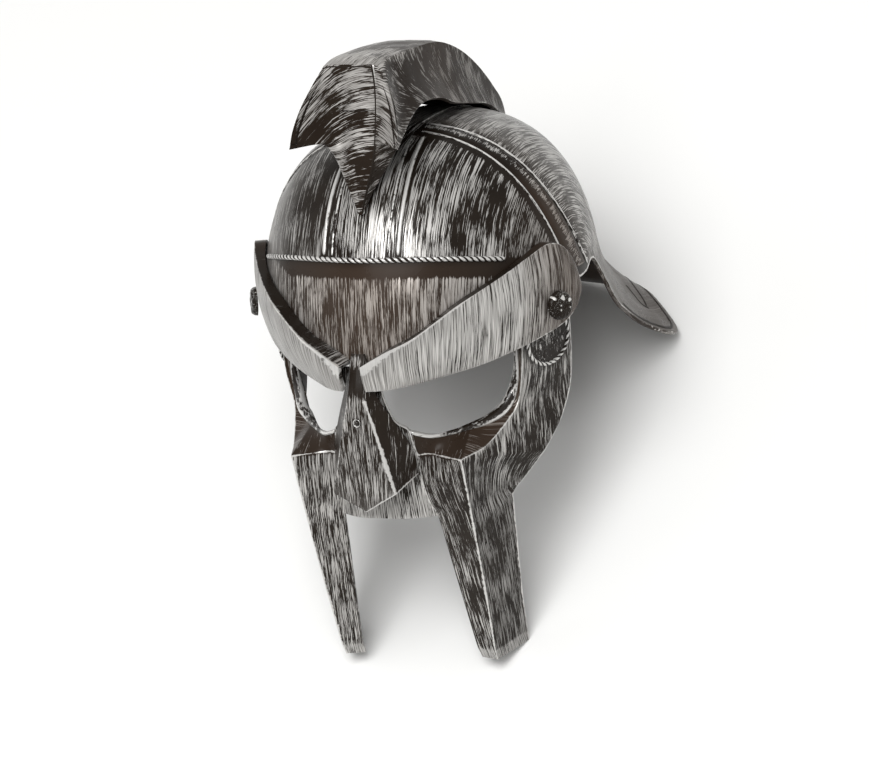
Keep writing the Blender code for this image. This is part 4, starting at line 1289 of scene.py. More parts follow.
# %% The brow plates' table
PLATE_SECTIONS = [
    # low_x,   low_y,   low_z,   top_x,   top_y,   top_z
    (0.0060, -0.0460, 0.0170,  0.0056, -0.0498, 0.0300),
    (0.0150, -0.0405, 0.0167,  0.0170, -0.0462, 0.0362),
    (0.0270, -0.0285, 0.0174,  0.0304, -0.0389, 0.0425),
    (0.0400, -0.0170, 0.0197,  0.0477, -0.0266, 0.0548),
    (0.0510, -0.0055, 0.0218,  0.0571, -0.0153, 0.0609),
    (0.0612, 0.0049,  0.0251,  0.0660, -0.0015, 0.0668),
    (0.0694, 0.0155,  0.0283,  0.0730, 0.0114,  0.0722),
    (0.0750, 0.0274,  0.0310,  0.0785, 0.0240,  0.0760),
    (0.0800, 0.0360,  0.0345,  0.0815, 0.0360,  0.0723),
    (0.0834, 0.0435,  0.0400,  0.0838, 0.0440,  0.0630),
    (0.0850, 0.0478,  0.0470,  0.0850, 0.0478,  0.0530),
]
print("brow plate length in mm:", round(MM * math.dist(PLATE_SECTIONS[0][:3], PLATE_SECTIONS[-1][:3]), 1))

# %% The brow plates' grid
PLATE_CAMBER = 0.0030
PLATE_FULL_WIDTH = 0.040
PLATE_LEDGE_CLEARANCE = 0.0010
PLATE_SPACING = 0.0011
PLATE_FACE_STEPS = 26
PLATE_LEDGE_STEPS = 8


def beside_dome(points, clearance):
    """The points at the same heights that lie straight inwards, a clearance off the dome."""
    x, y, z = np.moveaxis(points, -1, 0)
    ratio = np.hypot(x / DOME_HALF_WIDTH, (y - DOME_AXIS_Y) / dome_reach(y)) / dome_scale(z)
    out = np.stack([x, y - DOME_AXIS_Y, 0 * z], axis=-1)
    inner = out / ratio[..., None] + unit(out) * clearance
    return inner + np.stack([0 * x, DOME_AXIS_Y + 0 * y, z], axis=-1)


plate_rows = np.array(PLATE_SECTIONS).reshape(-1, 2, 3)
plate_fine = smooth(plate_rows, row_places(plate_rows, PLATE_SPACING))
low, top = plate_fine[:, 0], plate_fine[:, 1]
centre = (low + top) / 2
bulge_way = unit(np.stack([centre[:, 0] / DOME_HALF_WIDTH ** 2,
                           (centre[:, 1] - DOME_AXIS_Y) / DOME_FRONT ** 2, 0 * centre[:, 0]], axis=-1))
plate_width = np.linalg.norm(top - low, axis=1, keepdims=True)
bulge = bulge_way * PLATE_CAMBER * np.minimum(plate_width / PLATE_FULL_WIDTH, 1.0)
up = np.linspace(0.0, 1.0, PLATE_FACE_STEPS + 1)[:, None, None]
plate_face = low + (top - low) * up + bulge * 4 * up * (1 - up)
ledge_root = beside_dome(top, PLATE_LEDGE_CLEARANCE)
back = np.linspace(0.0, 1.0, PLATE_LEDGE_STEPS + 1)[1:, None, None]
plate_points = np.concatenate([plate_face, top + (ledge_root - top) * back])[::-1]
print("brow plate", plate_points.shape[:2])

# %% [markdown]
# Paint is thickest over the nose and thins out into a brown haze at the temple. The plate on the
# wearer's right got less of it. The rims are rubbed bright, most of all the fold at the ledge.

# %% The plates' finish
RIGHT_PLATE_STRENGTH = 0.78
plate_along = run(plate_points, 1)[-1:] + 0 * plate_points[..., 0]
plate_up = run(plate_points[::-1], 0)[::-1]
face_top = plate_up[PLATE_LEDGE_STEPS:PLATE_LEDGE_STEPS + 1]
on_ledge = np.arange(len(plate_points))[:, None] < PLATE_LEDGE_STEPS
near_nose = np.clip(1 - plate_along / 0.060, 0, 1)
plate_end = np.clip((plate_along - 0.080) / 0.035, 0, 1)
fold_spread = np.where(on_ledge, 1 - 0.50 * near_nose, 1 - 0.84 * near_nose)
from_ledge_fold = MM * np.abs(plate_up - face_top) * fold_spread + 1.0 - 0.85 * near_nose ** 0.5
plate_sheet = make_sheet(
    plate_points, plate_along, plate_up,
    coverage=np.where(on_ledge, 0.08 + 0.48 * near_nose ** 2, 0.65 - 0.20 * plate_end + 0.10 * near_nose),
    film=np.where(on_ledge, 0.0, 0.04), warm=0.8 * plate_end, strength=1 - 0.52 * plate_end,
    edge=np.minimum(from_ledge_fold, MM * plate_up + 0.9))
plate_right = mirrored(plate_sheet)
plate_right["strength"] = plate_right["strength"] * RIGHT_PLATE_STRENGTH
for side, sheet in (("left", plate_sheet), ("right", plate_right)):
    add_piece("brow_plate_shell_" + side, [sheet], [PLATE_FINISH, INSIDE, TRIM_FINISH],
              node="brow_plate_" + side, wall=WALL, rounding=0.00035)

# %% [markdown]
# ## The face mask
# Cheeks, eye rims, nose bridge, lip band and cheek guards are one moulding with crisp folds.
# Five grids make its left half: the bridge, the shelf under the eye, the temple, and the cheek
# guard's face and side. Their shared borders use the same points, so they weld.

# %% The mask's tables
EYE_SECTIONS = np.array([
    # rim_x,  rim_y,   rim_z,   ridge_x, ridge_y, ridge_z, rear_x, rear_y, rear_z
    (0.0420, -0.0020, -0.0090,  0.0452, -0.0262, -0.0210,  0.0660, 0.0330, -0.0300),
    (0.0470, 0.0056,  -0.0070,  0.0514, -0.0078, -0.0182,  0.0690, 0.0410, -0.0220),
    (0.0520, 0.0110,  -0.0025,  0.0577, 0.0100,  -0.0083,  0.0710, 0.0470, -0.0150),
    (0.0560, 0.0160,  0.0050,   0.0605, 0.0152,  -0.0016,  0.0725, 0.0550, -0.0040),
    (0.0585, 0.0180,  0.0140,   0.0630, 0.0153,  0.0100,   0.0733, 0.0580, 0.0080),
    (0.0595, 0.0182,  0.0260,   0.0642, 0.0154,  0.0220,   0.0738, 0.0580, 0.0200),
    (0.0605, 0.0184,  0.0370,   0.0650, 0.0156,  0.0360,   0.0740, 0.0580, 0.0370),
]).reshape(-1, 3, 3)
SHELF_SECTIONS = np.array([
    # rim_x,  rim_y,   rim_z,   ledge_x, ledge_y, ledge_z
    (0.0200, -0.0280, -0.0068,  0.0210, -0.0225, -0.0200),
    (0.0280, -0.0216, -0.0098,  0.0268, -0.0208, -0.0196),
    (0.0360, -0.0110, -0.0100,  0.0362, -0.0236, -0.0203),
    (0.0420, -0.0020, -0.0090,  0.0452, -0.0262, -0.0210),
]).reshape(-1, 2, 3)
BRIDGE_SECTIONS = np.array([
    # mid_y,   mid_z,   side_x, side_y, side_z
    (-0.0358, 0.0265,  0.0135, -0.0335, 0.0265),
    (-0.0356, 0.0160,  0.0096, -0.0348, 0.0160),
    (-0.0340, -0.0005, 0.0140, -0.0318, -0.0005),
    (-0.0315, -0.0068, 0.0200, -0.0280, -0.0068),
    (-0.0285, -0.0200, 0.0210, -0.0225, -0.0200),
    (-0.0265, -0.0350, 0.0215, -0.0196, -0.0350),
    (-0.0250, -0.0460, 0.0232, -0.0150, -0.0470),
    (-0.0242, -0.0520, 0.0249, -0.0121, -0.0533),
])
BRIDGE_BELLY = 0.22
GUARD_SECTIONS = np.array([
    # in_x,    in_y,    in_z,    ridge_x, ridge_y, ridge_z, rear_x, rear_y, rear_z
    (0.0210, -0.0225, -0.0200,  0.0452, -0.0262, -0.0210,  0.0660, 0.0330, -0.0300),
    (0.0215, -0.0196, -0.0350,  0.0450, -0.0218, -0.0350,  0.0605, 0.0200, -0.0395),
    (0.0232, -0.0150, -0.0470,  0.0447, -0.0179, -0.0470,  0.0565, 0.0113, -0.0460),
    (0.0249, -0.0121, -0.0533,  0.0445, -0.0158, -0.0533,  0.0560, 0.0115, -0.0520),
    (0.0272, -0.0037, -0.0800,  0.0437, -0.0070, -0.0800,  0.0542, 0.0174, -0.0775),
    (0.0289, 0.0025,  -0.1000,  0.0429, -0.0004, -0.1000,  0.0524, 0.0231, -0.0990),
    (0.0312, 0.0110,  -0.1270,  0.0415, 0.0086,  -0.1270,  0.0507, 0.0305, -0.1225),
    (0.0317, 0.0150,  -0.1330,  0.0411, 0.0122,  -0.1333,  0.0500, 0.0335, -0.1285),
]).reshape(-1, 3, 3)
MASK_SPACING = 0.0013
GUARD_SPACING = 0.0020
GUARD_END_SPACING = 0.0015
FACET_STEPS = 14              # from the eye's rim to the ridge
SIDE_STEPS = 30               # from the ridge to the rear edge
BRIDGE_STEPS = 16
print("mask tables:", EYE_SECTIONS.shape, SHELF_SECTIONS.shape, BRIDGE_SECTIONS.shape, GUARD_SECTIONS.shape)

# %% [markdown]
# The shelf and the temple are straight from line to line. The guard starts where the shelf's
# front edge ends, so its first rows are blended from that curved edge into straight ones.

# %% The shelf, the temple and the guard
shelf_places = row_places(SHELF_SECTIONS, MASK_SPACING)
shelf_fine = smooth(SHELF_SECTIONS, shelf_places)
shelf = straight_across(shelf_fine, (FACET_STEPS,)).swapaxes(0, 1)
eye_fine = smooth(EYE_SECTIONS, row_places(EYE_SECTIONS, MASK_SPACING))
temple = straight_across(eye_fine, (FACET_STEPS, SIDE_STEPS)).swapaxes(0, 1)
body_rows, end_rows = GUARD_SECTIONS[:-1], GUARD_SECTIONS[-2:]
guard_places = row_places(body_rows, GUARD_SPACING)
guard_fine = np.concatenate([smooth(body_rows, guard_places),
                             smooth(end_rows, row_places(end_rows, GUARD_END_SPACING))[1:]])
guard_inner, guard_ridge, guard_rear = guard_fine.swapaxes(0, 1)
shelf_front = shelf_fine[:, 1]
share = (shelf_front[:, 0] - shelf_front[0, 0]) / (shelf_front[-1, 0] - shelf_front[0, 0])
share = share[None, :, None]
guard_face = guard_inner[:, None] * (1 - share) + guard_ridge[:, None] * share
first_z, second_z = GUARD_SECTIONS[:2, 0, 2]
blend_rows = np.clip((guard_inner[:, 2] - second_z) / (first_z - second_z), 0, 1)[:, None, None]
guard_face = guard_face + blend_rows ** 2 * (shelf_front[None] - guard_face[:1])
guard_side = straight_across(np.stack([guard_ridge, guard_rear], axis=1), (SIDE_STEPS,))
print("shelf", shelf.shape, "temple", temple.shape, "guard", guard_face.shape, guard_side.shape)

# %% [markdown]
# The bridge goes from the brow over the nose to the lip band. The first four rows of its table
# lead down to the shelf, the step from the fourth to the fifth runs along the shelf's inner edge,
# and from the fifth on it runs beside the guard. There its outer edge takes their points. Each
# row is a shallow curve from the middle out.

# %% The bridge
JOINED_ROWS = 3.0             # table rows of the guard beside which the bridge runs down
upper_places = row_places(BRIDGE_SECTIONS[:4, [2, 3, 4]], MASK_SPACING)
lower_places = guard_places[guard_places <= JOINED_ROWS]
bridge_places = np.concatenate([upper_places, 3 + np.arange(1, FACET_STEPS) / FACET_STEPS, 4 + lower_places])
bridge_fine = smooth(BRIDGE_SECTIONS, bridge_places)
bridge_mid = np.column_stack([np.zeros(len(bridge_fine)), bridge_fine[:, :2]])
bridge_side = bridge_fine[:, 2:].copy()
bridge_side[len(upper_places) - 1:len(upper_places) + FACET_STEPS] = shelf[:, 0]
bridge_side[-len(lower_places):] = guard_inner[:len(lower_places)]
belly = (bridge_mid + bridge_side) / 2
belly[:, 1] = bridge_mid[:, 1] + BRIDGE_BELLY * (bridge_side[:, 1] - bridge_mid[:, 1])
t = np.linspace(0.0, 1.0, BRIDGE_STEPS + 1)[None, :, None]
bridge = (bridge_mid[:, None] * (1 - t) * (1 - 2 * t) + belly[:, None] * 4 * t * (1 - t)
          + bridge_side[:, None] * t * (2 * t - 1))
print("bridge", bridge.shape)

# %% [markdown]
# Paint is thick on the ridges, in a rough seam beside the nose and on the guards' bevelled ends.
# The facet below the eye and the shelf stayed glossy and brown.

# %% The bridge's and the shelf's finish
seam_x = MM * np.abs(bridge[..., 0] - bridge_side[:, None, 0])
below_shelf = np.clip((-0.006 - bridge[..., 2]) / 0.003, 0, 1)
lip_band = np.clip((-0.040 - bridge[..., 2]) / 0.004, 0, 1)
beside_nose = np.exp(-seam_x / 3.0) * np.clip((-0.022 - bridge[..., 2]) / 0.006, 0, 1)
bridge_sheet = make_sheet(bridge, bridge[..., 0], -bridge[..., 2],
                          coverage=0.30 + 0.24 * below_shelf + 0.04 * beside_nose + 0.08 * lip_band,
                          film=0.02, edge=seam_x * (1.6 - 0.9 * below_shelf) + 0.45 + 0.30 * below_shelf)
shelf_down = run(shelf, 0)
shelf_low = MM * (shelf_down[-1:] - shelf_down)
shelf_sheet = make_sheet(shelf, shelf[..., 0], shelf_down, coverage=0.18, warm=0.5,
                         edge=np.minimum(MM * shelf_down + 0.4, shelf_low + 0.55))
print("bridge sheet", bridge_sheet["edge"].shape, "shelf sheet", shelf_sheet["edge"].shape)

# %% The temple's finish
BRUSH_SLANT = 0.6             # how much a stroke's line leans with the width, on the mask's sides


def side_lines(points):
    """Across the strokes on the mask's sides, which run down and lean with the cheek."""
    return points[..., 1] - BRUSH_SLANT * points[..., 0]


temple_down = run(temple, 0)
ridge_down = temple_down[FACET_STEPS:FACET_STEPS + 1]
in_facet = np.arange(len(temple))[:, None] < FACET_STEPS
below = np.maximum(temple_down - ridge_down, 0.0)
upper_temple = np.clip((temple[..., 2] - 0.012) / 0.02, 0, 1)
temple_cover = np.where(in_facet, 0.38, 0.35 + 0.30 * np.exp(-below / 0.007) - 0.02 * upper_temple)
temple_sheet = make_sheet(
    temple, side_lines(temple), -temple[..., 2], coverage=temple_cover,
    warm=np.where(in_facet, 0.75, 0.05), strength=np.where(in_facet, 0.55, 0.85),
    edge=np.minimum(MM * np.abs(temple_down - ridge_down) + 0.42,
                    MM * (temple_down[-1:] - temple_down) + 0.3))
print("temple coverage", temple_cover.min().round(2), "to", temple_cover.max().round(2))

# %% The cheek guard's finish
BEVEL_FACE = 7.5              # millimetres of bright bevel at the guard's end, on its face
BEVEL_SIDE = 7.0              # and on its side
LEAVE_OVER = 0.030            # the strokes leave the temple's lines for the guard's over this


def end_band(down, length):
    """1 within a length of the guard's end, in millimetres, fading out over one millimetre."""
    return np.clip(length - MM * (down[-1:] - down), 0, 1)


face_down, face_out = run(guard_face, 0), run(guard_face, 1)
face_edge = MM * np.minimum(face_out[:, -1:] - face_out, face_down + 0.0002)
face_band = end_band(face_down, BEVEL_FACE)
face_sheet = make_sheet(guard_face, face_out, face_down, coverage=0.38 + 0.20 * face_band,
                        film=0.01 + 0.12 * face_band, strength=0.9, warm=0.08 * (1 - face_band),
                        edge=face_edge * 0.8 + 0.35)
guard_down, guard_out = run(guard_side, 0), run(guard_side, 1)
guard_edge = MM * np.minimum(guard_out, guard_out[:, -1:] - guard_out)
guard_band = end_band(guard_down, BEVEL_SIDE)
leave = np.clip(guard_down / LEAVE_OVER, 0, 1)
guard_across = side_lines(guard_side[:1]) * (1 - leave) + (guard_out - 0.05) * leave
guard_sheet = make_sheet(guard_side, guard_across, guard_down - guard_side[:1, :, 2],
                         coverage=0.38 + 0.07 * leave + 0.16 * guard_band, film=0.01 + 0.12 * guard_band,
                         strength=0.85 - 0.40 * leave + 0.3 * guard_band, edge=guard_edge + 0.35)
print("guard sheets", face_sheet["edge"].shape, guard_sheet["edge"].shape)

# %% The mask
RIGHT_FACE_EXTRA = 0.09       # the guard on the wearer's right has more paint on its face
right_face_sheet = mirrored(face_sheet)
right_face_sheet["coverage"] = right_face_sheet["coverage"] + RIGHT_FACE_EXTRA
mask_left = [bridge_sheet, shelf_sheet, temple_sheet, face_sheet, guard_sheet]
mask_right = [mirrored(bridge_sheet), mirrored(shelf_sheet), mirrored(temple_sheet), right_face_sheet,
              mirrored(guard_sheet)]
MASK_LOOK = [MASK_FINISH, INSIDE, TRIM_FINISH]
add_piece("face_mask_shell", mask_left + mask_right, MASK_LOOK, node="face_mask",
          wall=WALL, rounding=0.00035, crease=28.0)

# %% [markdown]
# A thick, glossy lip runs round the lower edge of each eye opening. It is a bead that swells
# under the eye's outer corner, with paint rubbed onto both its edges and dark between them. The
# rubbed edges are also painted highlight, for the white glints along the glossy lip.

# %% The eye lips
LIP_WIDTH = 0.0018
LIP_SWELL = 0.0042            # how much wider it gets,
LIP_SWELL_AT = 0.56           # at this share of the way round,
LIP_SWELL_OVER = 0.24         # over this share of it
LIP_MIDDLE = 0.42             # its middle lies this share of its width below the rim
LIP_HEIGHT = 0.36             # and it is this share of its width high
lip_rim = np.concatenate([shelf[0], temple[0][1:]])
lip_ridge = np.concatenate([shelf[-1], temple[FACET_STEPS][1:]])
lip_down = unit(lip_ridge - lip_rim)
lip_out = unit(np.cross(lip_down, np.gradient(lip_rim, axis=0)))
lip_share = run(lip_rim[:, None], 0) / run(lip_rim[:, None], 0)[-1]
lip_width = LIP_WIDTH + LIP_SWELL * np.exp(-((lip_share - LIP_SWELL_AT) / LIP_SWELL_OVER) ** 2)
lip_path = lip_rim + lip_down * lip_width * LIP_MIDDLE
lip = bead_sheet(lip_path, lip_out, lip_width, lip_width * LIP_HEIGHT, coverage=0.30)
from_rim = np.sum((lip["points"] - lip_rim[:, None]) * lip_down[:, None], axis=-1)
from_low_edge = 2 * LIP_MIDDLE * lip_width - from_rim
from_line = MM * np.minimum(np.maximum(from_rim, 0.0), np.maximum(from_low_edge, 0.0))
# Painted highlight: the bright edges, and the extra patch towards the eye's inner corner, stand in for the
# glossy lip's white highlights.
lip["edge"] = from_line * 0.9 + 0.2 + 0.9 * np.exp(-((lip_share - 0.30) / 0.12) ** 2)
print("lip", lip["edge"].shape, "widest in mm:", round(MM * float(lip_width.max()), 1))
add_piece("eye_lips", both_sides([lip]), [GLOSS_FINISH], crease=60.0)

# %% [markdown]
# ## The nose guard and its rivet
# A flat-faced wedge covers the nose. Its front is bright along the edges with rubbed paint, and the
# brighter edge on the wearer's left is painted highlight. Its deep sides are dark with long scratches.
# A small domed rivet in a ring sits high on it.

# %% The nose guard
NOSE_SECTIONS = np.array([
    # mid_y,   mid_z,   edge_x, edge_y,  edge_z,  root_x, root_y, root_z
    (-0.0386, 0.0340,  0.0033, -0.0384, 0.0340,  0.0035, -0.0370, 0.0340),
    (-0.0446, 0.0160,  0.0039, -0.0442, 0.0160,  0.0080, -0.0392, 0.0160),
    (-0.0448, -0.0020, 0.0078, -0.0441, 0.0000,  0.0146, -0.0344, 0.0000),
    (-0.0440, -0.0190, 0.0115, -0.0436, -0.0150, 0.0208, -0.0276, -0.0150),
    (-0.0416, -0.0443, 0.0164, -0.0425, -0.0350, 0.0213, -0.0240, -0.0290),
])
NOSE_TIP = np.array([0.0, -0.0275, -0.0440])
NOSE_SPACING = 0.0012
NOSE_STEPS = (12, 12)         # from the middle to the edge, and from there to the root
nose_rows = np.stack([np.column_stack([0 * NOSE_SECTIONS[:, 0], NOSE_SECTIONS[:, :2]]),
                      NOSE_SECTIONS[:, 2:5], NOSE_SECTIONS[:, 5:8]], axis=1)
nose_fine = smooth(nose_rows, row_places(nose_rows, NOSE_SPACING))
nose = straight_across(nose_fine, NOSE_STEPS)
under_share = np.concatenate([np.linspace(1.0, 0.5, NOSE_STEPS[0] + 1),
                              np.linspace(0.5, 0.0, NOSE_STEPS[1] + 1)[1:]])[:, None]
root = nose[-1, -1]
under_line = root + (NOSE_TIP - root) * under_share
deep = np.linspace(0.0, 1.0, 9)[:, None, None]
underside = nose[-1] * (1 - deep) + under_line * deep
print("nose guard", nose.shape, "underside", underside.shape)

# %% The nose guard's finish
DAB_CENTRE = (0.0, -0.0395, 0.0305)   # a bright dab of paint above the rivet
DAB_SIZE = 0.0035
# Painted highlight: the edges on the wearer's right get less rubbed paint, so the brighter left edges stand
# in for the highlight there.
RIGHT_LESS_HIGHLIGHT = 0.7         # millimetres less rubbing along the edges on the wearer's right
nose_out, nose_down = run(nose, 1), run(nose, 0)
nose_edge = MM * np.abs(nose_out - nose_out[:, NOSE_STEPS[0]:NOSE_STEPS[0] + 1])
nose_low = MM * (nose_down[-1:] - nose_down)
on_wall = np.arange(nose.shape[1])[None, :] > NOSE_STEPS[0]
nose_top = np.clip((nose[..., 2] - 0.012) / 0.006, 0, 1)
nose_cover = np.where(on_wall, 0.28, 0.43 - 0.28 * nose_top)
nose_cover += 0.38 * spot(nose, DAB_CENTRE, DAB_SIZE)
nose_sheet = make_sheet(nose, nose_out, nose_down, coverage=nose_cover,
                        film=np.where(on_wall, 0.0, 0.01 + 0.16 * np.exp(-nose_low / 6.0)),
                        strength=1 - 0.3 * nose_top, warm=0.10,
                        edge=np.minimum(nose_edge * 0.62 + 0.15 + 6 * nose_top, nose_low + 0.3))
under_sheet = make_sheet(underside, run(underside, 1), run(underside, 0), coverage=0.2)
nose_right = mirrored(nose_sheet)
nose_right["edge"] = nose_right["edge"] + RIGHT_LESS_HIGHLIGHT
add_piece("nose_guard_shell", [nose_sheet, under_sheet, nose_right, mirrored(under_sheet)], MASK_LOOK,
          node="nose_guard", wall=WALL, rounding=0.00030, crease=25.0)

# %% [markdown]
# ## Turned pieces: studs, rivet and bosses
# Each is a height over a disc: rows go out from the middle and columns go round. The studs look
# hammered, so bumps of many sizes are added to their height. They come from a seeded random
# generator, so they are the same every time.

# %% A disc with a height


def disc_axes(facing):
    """The level direction to the right and the upward one, of a disc that faces a way."""
    right = unit(np.cross((0.0, 0.0, 1.0), facing))
    return right, np.cross(facing, right)


def disc_sheet(centre, facing, out, height, columns, stretch=1.0, **fields):
    """A turned surface with a centre and axis: rows at distances out, at heights (rows, columns).

    Stretch is how much longer it is to the right than upwards.
    """
    facing = unit(np.asarray(facing, float))
    right, upward = disc_axes(facing)
    angle = np.linspace(0.0, 2 * math.pi, columns + 1)
    angle[-1] = 0.0
    reach = np.broadcast_to(np.asarray(out)[:, None], (len(out), columns + 1))
    points = (centre + (reach * stretch * np.cos(angle))[..., None] * right
              + (reach * np.sin(angle))[..., None] * upward + height[..., None] * facing)
    return make_sheet(points, reach * stretch * np.cos(angle), reach * np.sin(angle), **fields)


def foot_sheet(centre, facing, radius, columns, stretch=1.0):
    """The flat unpainted back of a disc, which faces away, so its rows come in from the rim."""
    return disc_sheet(centre, facing, np.array([radius, 0.0]), np.zeros((2, columns + 1)), columns, stretch,
                      coverage=-1.0)


print("axes of a disc that faces the front:", disc_axes(np.array([0.0, -1.0, 0.0])))

# %% Dents and rounded sides


def bumps(reach, columns, count, size, seed):
    """Round bumps and dents scattered over a disc, each a soft spot up or down."""
    random = np.random.default_rng(seed)
    angle = np.linspace(0.0, 2 * math.pi, columns + 1)
    x, y = reach[:, None] * np.cos(angle), reach[:, None] * np.sin(angle)
    total = 0 * x
    for _ in range(count):
        spot_x, spot_y = random.uniform(-reach.max(), reach.max(), 2)
        way = random.choice((-1.0, 1.0))
        spread = size * random.uniform(0.6, 1.3)
        total += way * np.exp(-((x - spot_x) ** 2 + (y - spot_y) ** 2) / spread ** 2)
    return total


def rounded_disc(radius, height, rows, power=4.0):
    """Distances out and heights of a flat-topped button whose side rounds off."""
    t = np.linspace(0.0, 1.0, rows)
    return radius * t ** 0.8, height * np.maximum(1 - t ** power, 0.0) ** (1 / 2.2)


print("a button 1 high, halfway along its rows:", rounded_disc(1.0, 1.0, 5)[1][2].round(3))

# %% The studs
STUD_RADIUS = 0.0073
STUD_COLUMNS = 72
STUD_ROWS = 34
STUD_DENTS = 90
STUD_DENT_SIZE = 0.00095
STUD_DENT_HEIGHT = 0.00028
STUD_CALM_RIM = 0.0012        # the dents fade out over this, so the rim stays round
for side, way, seed in (("left", 1.0, 7), ("right", -1.0, 11)):
    out, rise = rounded_disc(STUD_RADIUS, STUD_HEIGHT, STUD_ROWS)
    dents = bumps(out, STUD_COLUMNS, STUD_DENTS, STUD_DENT_SIZE, seed)
    calm = np.clip((STUD_RADIUS - out) / STUD_CALM_RIM, 0, 1)[:, None]
    height = rise[:, None] + STUD_DENT_HEIGHT * dents * calm
    facing = STUD_FACING * (way, 1, 1)
    base = STUD_CENTRE * (way, 1, 1) + facing * STUD_LIFT
    face = disc_sheet(base, facing, out, np.minimum(height, STUD_HEIGHT), STUD_COLUMNS, coverage=0.24,
                      edge=1.3 - 0.8 * dents)
    foot = foot_sheet(base, facing, STUD_RADIUS, STUD_COLUMNS)
    add_piece("rough_stud_" + side, [face, foot], [ROUGH_FINISH], node="stud_" + side,
              crease=70.0)

# %% [markdown]
# The rivet is a small dome in a round ring. Both are half circles over the distance out, and the
# height is whichever is more. It sits on the nose guard's middle line, just off its surface.

# %% The rivet
RIVET_RADIUS = 0.0022
RIVET_HEIGHT = 0.0013
RIVET_Z = 0.0012
RIVET_COLUMNS = 32
RIVET_DOME_RADIUS = 0.00125
RING_MIDDLE = 0.00178
RING_HALF_WIDTH = 0.00043
RING_HEIGHT = 0.00062
above, under = NOSE_SECTIONS[1], NOSE_SECTIONS[2]
rivet_share = (above[1] - RIVET_Z) / (above[1] - under[1])
rivet_base = np.array([0.0, above[0] + (under[0] - above[0]) * rivet_share - GAP, RIVET_Z])
rivet_facing = (0.0, -1.0, 0.0)
ring_out = np.concatenate([np.linspace(0.0, 0.0012, 9), np.linspace(0.0013, RIVET_RADIUS, 10)])
dome_part = RIVET_HEIGHT * np.sqrt(np.clip(1 - (ring_out / RIVET_DOME_RADIUS) ** 2, 0, 1))
ring_part = RING_HEIGHT * np.sqrt(np.clip(1 - ((ring_out - RING_MIDDLE) / RING_HALF_WIDTH) ** 2, 0, 1))
rivet_height = np.maximum(dome_part, ring_part)[:, None] + np.zeros(RIVET_COLUMNS + 1)
rivet_edge = np.where(ring_out > 0.0013, MM * np.abs(ring_out - RING_MIDDLE) * 2 + 0.6, 1.2)[:, None]
rivet_face = disc_sheet(rivet_base, rivet_facing, ring_out, rivet_height, RIVET_COLUMNS, coverage=0.25,
                        edge=rivet_edge)
rivet_foot = foot_sheet(rivet_base, rivet_facing, RIVET_RADIUS, RIVET_COLUMNS)
add_piece("ringed_rivet", [rivet_face, rivet_foot], [GLOSS_FINISH], node="nose_rivet",
          crease=70.0)

# %% [markdown]
# The bosses are thin oval discs with a cord for a rim. They lie on the mask at the temple, so
# they face the way its side does there, and their upper halves are under the plates' ends.

# %% The temple bosses
BOSS_RADIUS = 0.0136
BOSS_STRETCH = 1.40           # how much longer it is from front to rear than it is high
BOSS_THICKNESS = 0.0008
BOSS_RIM_RADIUS = 0.0010
BOSS_CENTRE = np.array([0.0695, 0.0353, 0.0262])
BOSS_COLUMNS = 96
BOSS_ROWS = 40
BOSS_RING_POINTS = 420
BOSS_BRIGHT_RADIUS = 0.006    # the middle has more paint, out to about here
BOSS_DENTS = 120
BOSS_DENT_SIZE = 0.0013
BOSS_DENT_HEIGHT = 0.00012
BOSS_CORD_PITCH = 0.0040
boss_out = np.linspace(0.0, BOSS_RADIUS - BOSS_RIM_RADIUS, BOSS_ROWS)
disc_radius = boss_out[-1]
temple_row = EYE_SECTIONS[-2]
cheek = temple_row[2] - temple_row[1]
boss_facing = unit(np.array([cheek[1], -cheek[0], 0.0]))
for side, way, seed in (("left", 1.0, 19), ("right", -1.0, 23)):
    facing = boss_facing * (way, 1, 1)
    base = BOSS_CENTRE * (way, 1, 1) + facing * GAP
    dents = bumps(boss_out, BOSS_COLUMNS, BOSS_DENTS, BOSS_DENT_SIZE, seed)
    height = BOSS_THICKNESS + BOSS_DENT_HEIGHT * dents
    near_middle = np.exp(-(boss_out / BOSS_BRIGHT_RADIUS) ** 2)[:, None]
    disc = disc_sheet(base, facing, boss_out, height, BOSS_COLUMNS, BOSS_STRETCH,
                      coverage=0.22 + 0.20 * near_middle, edge=2.4 - 0.9 * dents)
    wall = disc_sheet(base, facing, np.full(2, disc_radius), np.stack([height[-1], 0 * height[-1]]),
                      BOSS_COLUMNS, BOSS_STRETCH, coverage=-1.0)
    foot = foot_sheet(base, facing, disc_radius, BOSS_COLUMNS, BOSS_STRETCH)
    turn = np.linspace(0.0, 2 * math.pi, BOSS_RING_POINTS)[:, None]
    right, upward = disc_axes(facing)
    ring = (base + facing * BOSS_THICKNESS
            + disc_radius * (BOSS_STRETCH * np.cos(turn) * right + np.sin(turn) * upward))
    cord = cord_sheet(ring, np.broadcast_to(facing, ring.shape), BOSS_RIM_RADIUS, pitch=BOSS_CORD_PITCH,
                      coverage=0.15)
    add_piece("corded_boss_" + side, [disc, wall, foot, cord], [TRIM_FINISH],
              node="temple_boss_" + side, crease=70.0)

# %% [markdown]
# ## Camera, floor and light
# The camera looks at the face from the wearer's left and a little above, from far away with a
# long lens. Its pose is written in the worn frame and moved to rest with the helmet. The floor
# is a plain pale sheet, and the light is soft: a bright even sky, a strong panel overhead that
# sets off the ridges, and a weak one at each side.

# %% The camera
CAMERA_TURN = math.radians(22.956)   # to the wearer's left of straight ahead
CAMERA_RISE = math.radians(12.834)
CAMERA_ROLL = math.radians(-4.253)
CAMERA_DISTANCE = 2.59686            # from the origin, along its view
CAMERA_ASIDE = 0.02061               # and from there to its own right and up
CAMERA_ABOVE = 0.01039
CAMERA_LENS = 218.3
SENSOR_WIDTH = 36.0


